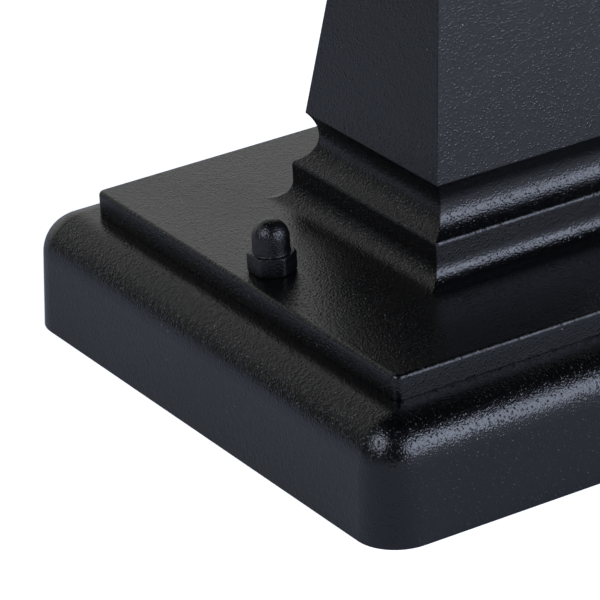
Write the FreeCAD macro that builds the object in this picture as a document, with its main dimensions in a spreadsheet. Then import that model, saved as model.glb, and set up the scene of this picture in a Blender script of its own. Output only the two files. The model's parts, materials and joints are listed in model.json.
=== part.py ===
import FreeCAD, Part
import Sketcher
import math
import os

# Deck post cap light. Millimetres, +Z up. The origin is the centre of the cap's rim, which is the lowest face.
# The door is on the -Y side. The cap nuts stand on the Y axis.

doc = FreeCAD.newDocument("deck_post_cap_light")
sheet = doc.addObject("Spreadsheet::Sheet", "sizes")
rows = []
nodes = []


def size(alias, value, note):
    rows.append(alias)
    row = len(rows)
    sheet.set("A%d" % row, note)
    sheet.set("B%d" % row, str(value))
    sheet.setAlias("B%d" % row, alias)


# Cap over the post
size("capWidth", 148.6, "cap width at the rim, fits a 139.7 post with the wall below")
size("capHeight", 27.1, "rim to the flat top")
size("capWall", 3.0, "cap wall")
size("capCeiling", 3.5, "thickness of the cap's top")
size("capCorner", 10.0, "radius of the cap's upright corners")
size("capEdge", 9.6, "radius of the cap's top edge")
size("capDraft", 3.1, "draft of the cap's sides, degrees")
size("footRadius", 9.0, "bosses that rest on the post")
size("footHeight", 6.0, "height of those bosses")
size("footInset", 29.3, "post screws from the cap's side")
size("footSpacing", "=capWidth - 2 * footInset", "distance between the post screws")
size("footHole", 5.5, "diameter of a post screw hole")
size("footRecess", 11.5, "diameter of the recess for a post screw's head")
size("footRecessDepth", 4.2, "depth of that recess")
size("studDiameter", 6.0, "M6 stud")
size("studSlack", 0.5, "radial clearance of a stud in the cap and in the plate")
size("threadSlack", 0.05, "radial clearance of a screw in its thread")
# Bar and its screws
size("barWidth", 22.0, "mounting bar width")
size("barThick", 2.5, "mounting bar thickness")
size("barEnd", 7.8, "bar beyond each stud")
size("barScrewSpacing", 70.0, "distance between the bar's screws")
size("barScrewDiameter", 4.0, "M4 screw")
size("barScrewHead", 2.4, "height of its round head")
size("barScrewShort", 0.3, "how far its end stays below the cap's top")
size("barWireHole", 30.0, "diameter of the bar's wire hole")
size("barHub", 42.0, "diameter of the widened middle of the bar")
size("earthOffset", 18.0, "earth screw's place from the centre")
size("locknutThick", 2.9, "thin hex nut")
size("locknutFlats", "=studDiameter + 4", "thin hex nut across flats")
# Grommet
size("grommetBore", 12.0, "bore for the supply cable")
size("grommetNeck", "=grommetBore + 7", "diameter of the cap's wire hole, and of the grommet's neck")
size("grommetLip", "=grommetNeck + 6", "diameter of the grommet's lips")
size("grommetLipThick", 2.0, "thickness of a lip")
size("grommetChamfer", 0.8, "chamfer of a lip")
# Pedestal
size("plateStep", 12.95, "plate's side from the cap's rim")
size("plateWidth", "=capWidth - 2 * plateStep", "plate width")
size("studInset", 8.65, "stud from the plate's side")
size("studSpacing", "=plateWidth - 2 * studInset", "distance between the two studs")
size("barLength", "=studSpacing + 2 * barEnd", "mounting bar length")
size("plateThick", 5.7, "plate height at its rim")
size("plateWeb", 3.0, "plate thickness inside the rim")
size("plateRim", 4.0, "width of the plate's rim")
size("plateCorner", 1.8, "radius of the plate's upright corners")
size("plateEdge", 0.9, "radius of the plate's top edge")
size("flareRadius", 4.8, "flare from plate to band")
size("bandWidth", 57.5, "flat band width")
size("bandEdge", 1.0, "radius of the band's top edge")
size("coveRadius", 7.5, "cove radius")
size("coveWaist", 48.3, "width at the cove's narrowest place")
size("coveRise", 16.2, "height of that place above the plate")
size("columnWidth", 52.3, "column width at its sharp lower edge")
size("columnTopWidth", 29.1, "column width at its top")
size("columnHeight", 72.0, "lower edge to top")
size("columnWall", 3.0, "column wall")
size("columnCap", 5.0, "thickness of the column's top")
size("coreWall", 3.65, "wall at the cove's narrowest place")
size("coreWidth", "=coveWaist - 2 * coreWall", "width of the hollow through band and cove")
size("gasketWidth", 12.0, "width of the gasket's ring")
size("gasketGap", 0.3, "gap round the gasket")
# Cap nut
size("nutFlats", "=studDiameter + 4", "cap nut across flats")
size("nutHexHeight", 4.6, "height of the hexagon")
size("nutDome", "=studDiameter + 2.6", "dome diameter")
size("nutChamfer", 0.55, "height of the hexagon's upper chamfer")
size("studShort", 0.5, "gap over a stud's end in its cap nut")
size("nutHeight", 12.0, "overall height")
size("nutDepth", 8.5, "depth of the thread")
size("nutTurn", 27.0, "angle of a flat's normal from +X, degrees")
# Stem and leads
size("stemDiameter", 10.0, "threaded tube diameter")
size("stemBore", "=stemDiameter - 3", "threaded tube bore")
size("stemSlack", 0.25, "radial clearance of the tube in column and tray")
size("stemNutFlats", "=stemDiameter + 4", "stem nut across flats")
size("stemNutThick", 3.5, "stem nut thickness")
size("stemWasherDiameter", "=stemDiameter + 8", "stem washer diameter")
size("stemWasherThick", 1.2, "stem washer thickness")
size("stemTail", 4.0, "tube left below the nut")
size("stemLead", 9.0, "length of tube inside the lampholder")
size("leadDiameter", 1.8, "insulated lead diameter")
size("leadSpread", 10.5, "distance of a connector from the middle")
size("connectorRadius", 5.2, "connector's widest radius")
size("connectorLength", 20.0, "connector length")
size("connectorRise", 40.0, "lower end of the connectors above the rim")
# Tray
size("collarWidth", 34.0, "collar at the foot of the tray")
size("collarHeight", 4.5, "height of that collar")
size("trayNeck", 30.0, "tray width above the collar")
size("trayRim", 8.0, "height of that rim")
size("trayFloor", 4.0, "thickness of the tray's floor")
size("trayWall", 3.0, "thickness of the tray's flare")
size("trayShelf", 11.0, "flat shelf under the tray's rim")
size("trayLedge", 4.0, "tray's side beyond the cage")
size("mouthInset", 10.0, "tray's open top inside the cage's face")
size("castEdge", 0.8, "radius on cast edges")
size("past", 1.0, "how far a cutting solid runs past a face")
# Cage
size("cageWidth", 104.0, "cage width")
size("cageHeight", 135.0, "cage height")
size("trayWidth", "=cageWidth + 2 * trayLedge", "tray width at its rim")
size("traySweep", "=(trayWidth - trayNeck) / 2 - trayShelf", "radius of the tray's hollow flare")
size("trayMouth", "=cageWidth - 2 * mouthInset", "width of the tray's open top")
size("cageWall", 3.0, "cage wall")
size("glassThick", 3.0, "pane thickness")
size("cageBoss", "=cageWall + glassThick", "width of the screw bosses in the cage's corners")
size("cageCorner", 2.0, "radius of the cage's upright corners")
size("windowStile", 12.0, "width of the stiles beside a window")
size("windowWidth", "=cageWidth - 2 * windowStile", "window width")
size("windowMargin", 12.0, "height of the rails above and below a window")
size("doorwayWidth", "=cageWidth - 2 * cageBoss", "doorway width")
size("doorwayMargin", 6.0, "height of the rails above and below the doorway")
size("traySpacing", "=cageWidth - cageBoss", "distance between the tray screws")
size("trayScrewDiameter", 3.0, "M3 screw")
size("smallHead", 2.1, "height of an M3 screw's head")
size("trayScrewDepth", 9.0, "thread in the cage")
# Glass
size("glassLap", 4.0, "lap of a pane behind the cage")
size("glassGap", 0.3, "gap over a pane's top edge")
size("stripThick", 1.0, "glazing strip thickness")
size("stripLeg", 5.2, "width of a glazing strip's leg")
# Door
size("doorGap", 0.6, "gap round the door")
size("doorThick", 4.0, "door frame thickness")
size("doorStile", 11.4, "width of the door's stiles")
size("doorRail", 8.0, "height of the door's rails")
size("doorGlassLap", 3.0, "lap of the door's pane")
size("doorGlassThick", 2.5, "door pane thickness")
size("hingeStand", 3.2, "hinge axis in front of the cage's face")
size("knuckleRadius", 2.8, "hinge knuckle radius")
size("knuckleHeight", 6.0, "height of one knuckle")
size("knuckleGap", 0.3, "gap between knuckles")
size("hingeInset", 24.0, "hinge centre from the doorway's end")
size("earWidth", 4.0, "width of the web behind a cage knuckle")
size("earFoot", 1.0, "web in front of the hinge axis, and half as much into the cage")
size("pinRadius", 1.25, "hinge pin radius")
size("pinSlack", 0.06, "radial running clearance of a pin in the door's knuckle")
size("pinHead", 2.1, "hinge pin head radius")
size("pinHeadHeight", 1.2, "hinge pin head height")
size("clipWidth", 8.0, "door clip width")
size("clipThick", 0.8, "door clip thickness")
size("clipLength", 5.0, "door clip length")
size("knobRadius", 4.5, "door knob radius")
size("knobLength", 11.0, "door knob length")
size("knobScrewDiameter", 3.0, "M3 screw")
size("bladeThick", 1.2, "catch blade thickness")
size("bladeWidth", 4.0, "catch blade width")
size("bladeReach", 4.0, "how far the blade reaches in")
size("bladeSlot", 2.0, "depth of the blade's slot in the door")
size("bladeGap", 0.1, "gap between blade and each leaf of the spring")
size("leafThick", 0.8, "thickness of a leaf")
# Lampholder and lamp
size("holderRadius", 19.0, "lampholder radius")
size("holderHeight", 44.0, "lampholder height")
size("holderWire", 5.0, "height of the wire room above the tube")
size("shellWall", 0.4, "screw shell wall")
size("shellDepth", 27.0, "depth of the screw shell")
size("lampCapRadius", 12.9, "E26 cap radius")
size("lampCapHeight", 24.5, "E26 cap height")
size("shellRadius", "=lampCapRadius + shellWall + 0.3", "outside radius of the screw shell")
size("bulbRadius", 24.0, "bulb radius")
size("bulbHeight", 66.0, "bulb height above its cap")
size("bulbNeck", 12.4, "bulb neck radius")
size("bulbSweep", 55.0, "radius of the hollow between neck and ball")
size("bulbWall", 0.8, "bulb wall")
size("filamentRing", 7.0, "radius that the filaments stand on")
size("filamentRadius", 0.8, "filament radius")
# Roof
size("roofOverhang", 16.0, "eave beyond the cage's face")
size("roofWidth", "=cageWidth + 2 * roofOverhang", "roof width at its eave")
size("roofDrop", 4.0, "drip edge below the cage's top")
size("roofStep", 2.0, "ledge at the foot of the slope")
size("roofSeat", 1.6, "width of the cage's top that the roof rests on")
size("roofFascia", 6.0, "height of the roof's upright edge above the cage's top")
size("roofRise", 42.0, "height of the slope")
size("roofSag", 78.0, "radius of the slope's hollow")
size("roofCrown", 28.0, "width of the flat crown")
size("roofWall", 3.0, "roof thickness")
size("roofSlack", 0.4, "gap between the roof's lip and the cage")
size("bridgeWidth", 12.0, "bridge width")
size("bridgeThick", 2.0, "bridge thickness")
size("bridgeGap", 0.4, "gap across the bridge in the cage's notches")
size("bridgeScrewDepth", 8.0, "thread under the bridge")
size("bridgeScrewInset", 4.5, "bridge screw from the cage's faces")
size("rodDiameter", 5.0, "M5 roof rod")
size("rodNutFlats", "=rodDiameter + 3", "M5 nut across flats")
size("rodNutThick", 4.0, "M5 nut thickness")
size("ventWidth", 22.0, "vent collar width")
size("ventHeight", 9.0, "vent collar height")
size("ventWall", 2.0, "vent collar wall")
size("ventHole", 4.0, "diameter of a vent hole in the roof")
size("ventSlot", 10.0, "width of a slot in the vent collar")
size("ventCapWidth", 40.0, "vent cap width")
size("ventCapEdge", 2.5, "height of the vent cap's edge")
size("ventCapRise", 8.0, "height of the vent cap's slope")
size("finialRadius", 7.0, "finial ball radius")
size("finialHeight", 25.0, "finial height")
doc.recompute()


def value(expression):
    return float(sheet.evalExpression(str(expression)))


def name(expression):
    """Give every bare alias in a formula the sheet's name in front."""
    text = str(expression)
    out = ""
    word = ""
    for letter in text + " ":
        if letter.isalnum() or letter == "_":
            word += letter
            continue
        out += ("sizes." + word if word in rows else word) + letter
        word = ""
    return out.strip()


def bind(thing, prop, expression):
    thing.setExpression(prop, name(expression))


def place(thing, x="0", y="0", z="0"):
    bind(thing, "Placement.Base.x", x)
    bind(thing, "Placement.Base.y", y)
    bind(thing, "Placement.Base.z", z)
    return thing


# Formulas that several pieces share
capTop = "capHeight"
ceiling = "(capHeight - capCeiling)"
footFace = "(capHeight - capCeiling - footHeight)"
barFace = "(capHeight - capCeiling - barThick)"
plateTop = "(capHeight + plateThick)"
studY = "(studSpacing / 2)"
footXY = "(footSpacing / 2)"
coveZ = "(%s + coveRise)" % plateTop
coveX = "(coveWaist / 2 + coveRadius)"
columnFoot = "(%s + sqrt(coveRadius ^ 2 - (%s - columnWidth / 2) ^ 2))" % (coveZ, coveX)
columnTop = "(%s + columnHeight)" % columnFoot
traySeat = "(%s + collarHeight + traySweep + trayRim)" % columnTop
cageTop = "(%s + cageHeight)" % traySeat
cageHalf = "(cageWidth / 2)"
hingeX = "(-doorwayWidth / 2 + doorGap)"
hingeY = "(-cageWidth / 2 - hingeStand)"
doorLow = "(%s + doorwayMargin + doorGap)" % traySeat
doorHigh = "(%s - doorwayMargin - doorGap)" % cageTop
doorMiddle = "(%s + cageHeight / 2)" % traySeat
holderFoot = "(%s + collarHeight + trayFloor + stemNutThick + stemWasherThick)" % columnTop
holderTop = "(%s + holderHeight)" % holderFoot
lampFoot = "(%s - shellDepth + 2)" % holderTop
bulbFoot = "(%s + lampCapHeight)" % lampFoot
crown = "(%s + roofFascia + roofRise)" % cageTop
ventTop = "(%s + ventHeight)" % crown
finialFoot = "(%s + ventCapEdge + ventCapRise)" % ventTop


# Solids from sketches

def sketchOn(body, role, label, offset="0"):
    plane = [o for o in body.Origin.OriginFeatures if o.Role == role][0]
    sketch = body.newObject("Sketcher::SketchObject", label)
    sketch.AttachmentSupport = (plane, [""])
    sketch.MapMode = "FlatFace"
    bind(sketch, "AttachmentOffset.Base.z", offset)
    return sketch


def outline(sketch, points):
    """Closed outline. A point is (x, y), or (x, y, radius, side) when an arc leads on to the next point.

    side is 1 when the arc's centre lies to the left of the way to the next point, and -1 to the right."""
    spots = [(value(name(p[0])), value(name(p[1]))) for p in points]
    count = len(points)
    for i, point in enumerate(points):
        (ax, ay), (bx, by) = spots[i], spots[(i + 1) % count]
        if len(point) == 2:
            sketch.addGeometry(Part.LineSegment(FreeCAD.Vector(ax, ay, 0), FreeCAD.Vector(bx, by, 0)), False)
            continue
        radius = value(name(point[2]))
        side = point[3]
        chord = ((bx - ax) ** 2 + (by - ay) ** 2) ** 0.5
        lift = max(radius ** 2 - chord ** 2 / 4, 0) ** 0.5
        nx, ny = -(by - ay) / chord * side, (bx - ax) / chord * side
        cx, cy = (ax + bx) / 2 + nx * lift, (ay + by) / 2 + ny * lift
        top = FreeCAD.Vector(cx - nx * radius, cy - ny * radius, 0)
        arc = Part.Arc(FreeCAD.Vector(ax, ay, 0), top, FreeCAD.Vector(bx, by, 0))
        sketch.addGeometry(arc, False)
    for i, point in enumerate(points):
        end = 1 if len(point) == 4 and point[3] < 0 else 2
        start = 2 if len(points[(i + 1) % count]) == 4 and points[(i + 1) % count][3] < 0 else 1
        sketch.addConstraint(Sketcher.Constraint("Coincident", i, end, (i + 1) % count, start))
    for i, point in enumerate(points):
        first = 2 if len(point) == 4 and point[3] < 0 else 1
        for k, kind in enumerate(("DistanceX", "DistanceY")):
            index = sketch.addConstraint(Sketcher.Constraint(kind, -1, 1, i, first, spots[i][k]))
            bind(sketch, "Constraints[%d]" % index, point[k])
        if len(point) == 4:
            index = sketch.addConstraint(Sketcher.Constraint("Radius", i, value(name(point[2]))))
            bind(sketch, "Constraints[%d]" % index, point[2])


def mirrored(side):
    """Outline that is the same left and right, from its right side's points given from the bottom up."""
    left = []
    for i in range(len(side) - 1, -1, -1):
        x, y = "-(%s)" % side[i][0], side[i][1]
        arc = side[i - 1] if i > 0 else side[i]
        left.append((x, y) + tuple(arc[2:]) if i > 0 and len(arc) == 4 else (x, y))
    return list(side) + left


def rounded(half, radius):
    """Square outline with rounded corners."""
    h, r = "(%s)" % half, "(%s)" % radius
    straight = "(%s - %s)" % (h, r)
    return [(straight, "-" + h, r, 1), (h, "-" + straight), (h, straight, r, 1), (straight, h),
            ("-" + straight, h, r, 1), ("-" + h, straight), ("-" + h, "-" + straight, r, 1), ("-" + straight, "-" + h)]


def padded(label, role, points, length, offset="0", midplane=False, draft=None):
    body = doc.addObject("PartDesign::Body", label)
    sketch = sketchOn(body, role, label + "_outline", offset)
    outline(sketch, points)
    pad = body.newObject("PartDesign::Pad", label + "_pad")
    pad.Profile = sketch
    bind(pad, "Length", length)
    pad.Midplane = midplane
    if draft is not None:
        bind(pad, "TaperAngle", draft)
    sketch.Visibility = False
    doc.recompute()
    return body


def padOf(body):
    return [o for o in body.Group if "pad" in o.Name][0]


def mitred(label, side, width):
    """Square moulding with mitred corners: one outline pushed along Y and the same one along X, in common."""
    along = padded(label + "_along_y", "XZ_Plane", mirrored(side), width, midplane=True)
    across = padded(label + "_along_x", "YZ_Plane", mirrored(side), width, midplane=True)
    both = doc.addObject("Part::MultiCommon", label)
    both.Shapes = [along, across]
    return both


def revolved(label, points, x="0", y="0", z="0"):
    """Round piece from an outline (radius, height) about an upright axis."""
    body = doc.addObject("PartDesign::Body", label)
    sketch = sketchOn(body, "XZ_Plane", label + "_outline")
    outline(sketch, points)
    turn = body.newObject("PartDesign::Revolution", label + "_turn")
    turn.Profile = sketch
    turn.ReferenceAxis = (sketch, ["V_Axis"])
    turn.Angle = 360.0
    sketch.Visibility = False
    place(body, x, y, z)
    doc.recompute()
    return body


# Simple solids and booleans

def box(label, length, width, height, x="0", y="0", z="0", centred="xy"):
    solid = doc.addObject("Part::Box", label)
    bind(solid, "Length", length)
    bind(solid, "Width", width)
    bind(solid, "Height", height)
    if "x" in centred:
        x = "(%s) - (%s) / 2" % (x, length)
    if "y" in centred:
        y = "(%s) - (%s) / 2" % (y, width)
    if "z" in centred:
        z = "(%s) - (%s) / 2" % (z, height)
    return place(solid, x, y, z)


def rod(label, radius, height, x="0", y="0", z="0", axis=None):
    solid = doc.addObject("Part::Cylinder", label)
    bind(solid, "Radius", radius)
    bind(solid, "Height", height)
    if axis == "y":
        solid.Placement.Rotation = FreeCAD.Rotation(FreeCAD.Vector(1, 0, 0), -90)
    if axis == "x":
        solid.Placement.Rotation = FreeCAD.Rotation(FreeCAD.Vector(0, 1, 0), 90)
    return place(solid, x, y, z)


def hexagon(label, flats, height, x="0", y="0", z="0", turn=None):
    solid = doc.addObject("Part::Prism", label)
    solid.Polygon = 6
    bind(solid, "Circumradius", "(%s) / sqrt(3)" % flats)
    bind(solid, "Height", height)
    if turn is not None:
        solid.Placement.Rotation = FreeCAD.Rotation(FreeCAD.Vector(0, 0, 1), value(name(turn)) + 30)
    return place(solid, x, y, z)


def cut(label, base, tools):
    result = base
    for i, tool in enumerate(tools):
        step = doc.addObject("Part::Cut", label if i == len(tools) - 1 else "%s_cut_%d" % (label, i))
        step.Base = result
        step.Tool = tool
        result = step
    return result


def fuse(label, shapes):
    joined = doc.addObject("Part::MultiFuse", label)
    joined.Shapes = shapes
    joined.Refine = True
    return joined


def group(label, shapes):
    bundle = doc.addObject("Part::Compound", label)
    bundle.Links = shapes
    return bundle


def softened(label, base, radius, chosen):
    """Round the edges of base for which chosen(edge) is true."""
    doc.recompute()
    result = doc.addObject("Part::Fillet", label)
    result.Base = base
    size_now = value(name(radius))
    result.Edges = [(i + 1, size_now, size_now) for i, edge in enumerate(base.Shape.Edges) if chosen(edge)]
    doc.recompute()
    return result


def node(label, shape):
    shape.Label = label
    nodes.append(shape)
    return shape


def isLevel(edge, height):
    limits = edge.BoundBox
    return abs(limits.ZMin - height) < 0.01 and abs(limits.ZMax - height) < 0.01


def fourCorners(distance):
    for sx in ("-", ""):
        for sy in ("-", ""):
            yield sx + distance, sy + distance


# Post cap

def makePostCap():
    body = padded("cap_outside", "XY_Plane", rounded("capWidth / 2", "capCorner"), capTop, draft="-capDraft")
    edge = body.newObject("PartDesign::Fillet", "cap_edge")
    pad = padOf(body)
    height = value(name(capTop))
    edge.Base = (pad, ["Edge%d" % (i + 1) for i, e in enumerate(pad.Shape.Edges) if isLevel(e, height)])
    bind(edge, "Radius", "capEdge")
    doc.recompute()
    hollow = padded("cap_inside", "XY_Plane", rounded("capWidth / 2 - capWall", "capCorner - capWall"), ceiling,
                    draft="-capDraft")
    inner = hollow.newObject("PartDesign::Fillet", "cap_inside_edge")
    height = value(name(ceiling))
    wall = padOf(hollow)
    inner.Base = (wall, ["Edge%d" % (i + 1) for i, e in enumerate(wall.Shape.Edges) if isLevel(e, height)])
    bind(inner, "Radius", "capEdge - capWall")
    doc.recompute()
    shell = cut("cap_shell", body, [hollow])
    feet = [rod("cap_foot_%d" % i, "footRadius", "footHeight + capCeiling / 2", x, y, footFace)
            for i, (x, y) in enumerate(fourCorners(footXY))]
    tools = [rod("cap_wire_hole", "grommetNeck / 2", "2 * capCeiling", z="%s - capCeiling / 2" % ceiling)]
    for i, (x, y) in enumerate(fourCorners(footXY)):
        tools.append(rod("cap_screw_hole_%d" % i, "footHole / 2", "capHeight", x, y))
        tools.append(rod("cap_screw_recess_%d" % i, "footRecess / 2", "capHeight", x, y,
                         "%s - footRecessDepth" % capTop))
    for i, sign in enumerate(("-", "")):
        tools.append(rod("cap_stud_hole_%d" % i, "studDiameter / 2 + studSlack", "capHeight", y=sign + studY))
        tools.append(rod("cap_bar_hole_%d" % i, "barScrewDiameter / 2 + threadSlack", "capHeight",
                         y=sign + "(barScrewSpacing / 2)"))
    node("post_cap", cut("post_cap", fuse("cap_with_feet", [shell] + feet), tools))


# Bar, studs and screws under the cap

def makeBar():
    strip = padded("bar_strip", "XY_Plane",
                   [("-barWidth / 2", "-barLength / 2"), ("barWidth / 2", "-barLength / 2"),
                    ("barWidth / 2", "barLength / 2"), ("-barWidth / 2", "barLength / 2")],
                   "barThick", barFace)
    hub = rod("bar_hub", "barHub / 2", "barThick", z=barFace)
    tools = [rod("bar_wire_hole", "barWireHole / 2", "capHeight"),
             rod("bar_earth_hole", "barScrewDiameter / 2 + threadSlack", "capHeight", x="earthOffset")]
    for i, sign in enumerate(("-", "")):
        tools.append(rod("bar_stud_hole_%d" % i, "studDiameter / 2 + threadSlack", "capHeight", y=sign + studY))
        tools.append(rod("bar_screw_hole_%d" % i, "barScrewDiameter / 2 + studSlack / 2", "capHeight",
                         y=sign + "(barScrewSpacing / 2)"))
    node("mounting_bar", cut("mounting_bar", fuse("bar_blank", [strip, hub]), tools))


def screwUp(label, diameter, headRadius, headHeight, length, x, y, seat):
    """Screw that points up, with its round head under the height seat."""
    r = "(%s) / 2" % diameter
    return revolved(label, [("0", "-(%s)" % headHeight), ("0.6 * (%s)" % headRadius, "-(%s)" % headHeight),
                            (headRadius, "-0.55 * (%s)" % headHeight), (headRadius, "0"), (r, "0"),
                            (r, length), ("0", length)], x, y, seat)


def makeBarScrews():
    screws = [screwUp("bar_screw_%d" % i, "barScrewDiameter", "barScrewDiameter", "barScrewHead",
                      "barThick + capCeiling - barScrewShort", "0", sign + "(barScrewSpacing / 2)", barFace)
              for i, sign in enumerate(("-", ""))]
    node("bar_screws", group("bar_screws", screws))
    earth = screwUp("earth_screw", "barScrewDiameter", "barScrewDiameter", "barScrewHead", "barThick",
                    "earthOffset", "0", barFace)
    node("ground_screw", earth)


def makeStuds():
    studs = []
    locks = []
    foot = "(%s - locknutThick)" % barFace
    top = "(%s + nutDepth - studShort)" % plateTop
    for i, sign in enumerate(("-", "")):
        studs.append(rod("stud_%d" % i, "studDiameter / 2", "%s - %s" % (top, foot), y=sign + studY, z=foot))
        blank = hexagon("locknut_blank_%d" % i, "locknutFlats", "locknutThick", y=sign + studY, z=foot)
        hole = rod("locknut_hole_%d" % i, "studDiameter / 2 + threadSlack", "capHeight", y=sign + studY)
        locks.append(cut("locknut_%d" % i, blank, [hole]))
    node("mounting_studs", group("mounting_studs", studs))
    node("stud_locknuts", group("stud_locknuts", locks))


def makeGrommet():
    low = "%s - grommetLipThick" % ceiling
    high = "%s + grommetLipThick" % capTop
    node("supply_grommet", revolved("supply_grommet", [
        ("grommetBore / 2", low), ("grommetLip / 2 - grommetChamfer", low),
        ("grommetLip / 2", "%s + grommetChamfer" % low),
        ("grommetLip / 2", ceiling), ("grommetNeck / 2", ceiling), ("grommetNeck / 2", capTop),
        ("grommetLip / 2", capTop), ("grommetLip / 2", "%s - grommetChamfer" % high),
        ("grommetLip / 2 - grommetChamfer", high), ("grommetBore / 2", high)]))


# Pedestal

def bandCorner():
    """Centre height of the small round between band and cove, and its end on the cove."""
    across = "(%s - bandWidth / 2 + bandEdge)" % coveX
    height = "(%s - sqrt((coveRadius + bandEdge) ^ 2 - %s ^ 2))" % (coveZ, across)
    share = "(bandEdge / (coveRadius + bandEdge))"
    endX = "(bandWidth / 2 - bandEdge + %s * %s)" % (across, share)
    endZ = "(%s + (%s - %s) * %s)" % (height, coveZ, height, share)
    return height, endX, endZ


def makePedestal():
    plate = padded("plate_blank", "XY_Plane", rounded("plateWidth / 2", "plateCorner"), "plateThick", capTop)
    edge = plate.newObject("PartDesign::Fillet", "plate_edge")
    pad = padOf(plate)
    height = value(name(plateTop))
    edge.Base = (pad, ["Edge%d" % (i + 1) for i, e in enumerate(pad.Shape.Edges) if isLevel(e, height)])
    bind(edge, "Radius", "plateEdge")
    bandLift, bandEndX, bandEndZ = bandCorner()
    side = [("bandWidth / 2 + flareRadius", "%s - past" % plateTop),
            ("bandWidth / 2 + flareRadius", plateTop, "flareRadius", -1),
            ("bandWidth / 2", "%s + flareRadius" % plateTop),
            ("bandWidth / 2", bandLift, "bandEdge", 1),
            (bandEndX, bandEndZ, "coveRadius", -1),
            ("columnWidth / 2", columnFoot),
            ("columnTopWidth / 2", columnTop)]
    column = mitred("column_outside", side, "2 * plateWidth")
    solid = fuse("pedestal_solid", [plate, column])
    slope = "((columnWidth - columnTopWidth) / 2 / columnHeight)"
    bend = "(%s + (columnWidth / 2 - columnWall - coreWidth / 2) / %s)" % (columnFoot, slope)
    coreTop = "(%s - columnCap)" % columnTop
    coreTopHalf = "(columnTopWidth / 2 - columnWall + columnCap * %s)" % slope
    core = mitred("column_inside", [("coreWidth / 2", capTop + " - past"), ("coreWidth / 2", bend),
                                    (coreTopHalf, coreTop)], "2 * plateWidth")
    underside = padded("plate_hollow", "XY_Plane", rounded("plateWidth / 2 - plateRim", "plateCorner"),
                       "plateThick - plateWeb + past", capTop + " - past")
    tools = [core, underside,
             rod("column_stem_hole", "stemDiameter / 2 + stemSlack", "2 * columnCap", z="%s - columnCap" % coreTop)]
    for i, sign in enumerate(("-", "")):
        tools.append(rod("plate_stud_hole_%d" % i, "studDiameter / 2 + studSlack", "2 * plateThick",
                         y=sign + studY, z=capTop))
    node("pedestal", cut("pedestal", solid, tools))


def makeGasket():
    outer = "plateWidth / 2 - plateRim - gasketGap"
    thick = "plateThick - plateWeb"
    blank = padded("gasket_blank", "XY_Plane", rounded(outer, "plateCorner"), thick, capTop)
    inner = padded("gasket_inside", "XY_Plane", rounded(outer + " - gasketWidth", "plateCorner"), thick, capTop)
    tools = [inner]
    for i, sign in enumerate(("-", "")):
        tools.append(rod("gasket_hole_%d" % i, "studDiameter / 2 + studSlack", "2 * plateThick",
                         y=sign + studY, z=capTop))
    node("plate_gasket", cut("plate_gasket", blank, tools))


def makeCapNuts():
    """Hexagon with a chamfered top, then a straight dome with a round end. The thread is blind."""
    dome = "nutDome / 2"
    nuts = []
    for i, sign in enumerate(("-", "")):
        hexa = hexagon("nut_hexagon_%d" % i, "nutFlats", "nutHexHeight", y=sign + studY, z=plateTop, turn="nutTurn")
        cone = revolved("nut_chamfer_%d" % i, [
            ("0", "0"), ("nutFlats * 0.5 + 0.15", "0"), ("nutFlats / sqrt(3)", "nutChamfer * 0.75"),
            ("nutFlats / sqrt(3)", "nutHexHeight - nutChamfer"), ("nutFlats * 0.47", "nutHexHeight"),
            ("0", "nutHexHeight")], "0", sign + studY, plateTop)
        chamfered = doc.addObject("Part::MultiCommon", "nut_chamfered_%d" % i)
        chamfered.Shapes = [hexa, cone]
        cap = revolved("nut_dome_%d" % i, [
            ("0", "nutHexHeight / 2"), (dome, "nutHexHeight / 2"),
            (dome, "nutHeight - nutDome / 2", dome, 1), ("0", "nutHeight")], "0", sign + studY, plateTop)
        hole = rod("nut_thread_%d" % i, "studDiameter / 2 + threadSlack", "nutDepth", y=sign + studY, z=plateTop)
        nuts.append(cut("cap_nut_%d" % i, fuse("nut_blank_%d" % i, [chamfered, cap]), [hole]))
    node("cap_nuts", group("cap_nuts", nuts))


# Stem and leads inside the column

def makeStem():
    underTop = "(%s - columnCap)" % columnTop
    foot = "(%s - stemWasherThick - stemNutThick - stemTail)" % underTop
    top = "(%s + stemLead)" % holderFoot
    tube = rod("stem_blank", "stemDiameter / 2", "%s - %s" % (top, foot), z=foot)
    bore = rod("stem_bore", "stemBore / 2", "%s - %s" % (top, foot), z=foot)
    node("stem_tube", cut("stem_tube", tube, [bore]))
    floor = "(%s + collarHeight + trayFloor)" % columnTop
    washers = []
    nuts = []
    for i, (washerFoot, nutFoot) in enumerate((
            ("%s - stemWasherThick" % underTop, "%s - stemWasherThick - stemNutThick" % underTop),
            (floor, "%s + stemWasherThick" % floor))):
        disc = rod("stem_disc_%d" % i, "stemWasherDiameter / 2", "stemWasherThick", z=washerFoot)
        hole = rod("stem_disc_hole_%d" % i, "stemDiameter / 2 + threadSlack", "2 * columnTopWidth",
                   z="%s - columnTopWidth" % washerFoot)
        washers.append(cut("stem_washer_%d" % i, disc, [hole]))
        blank = hexagon("stem_nut_blank_%d" % i, "stemNutFlats", "stemNutThick", z=nutFoot)
        thread = rod("stem_nut_hole_%d" % i, "stemDiameter / 2 + threadSlack", "2 * columnTopWidth",
                     z="%s - columnTopWidth" % nutFoot)
        nuts.append(cut("stem_nut_%d" % i, blank, [thread]))
    node("stem_washers", group("stem_washers", washers))
    node("stem_nuts", group("stem_nuts", nuts))


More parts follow.
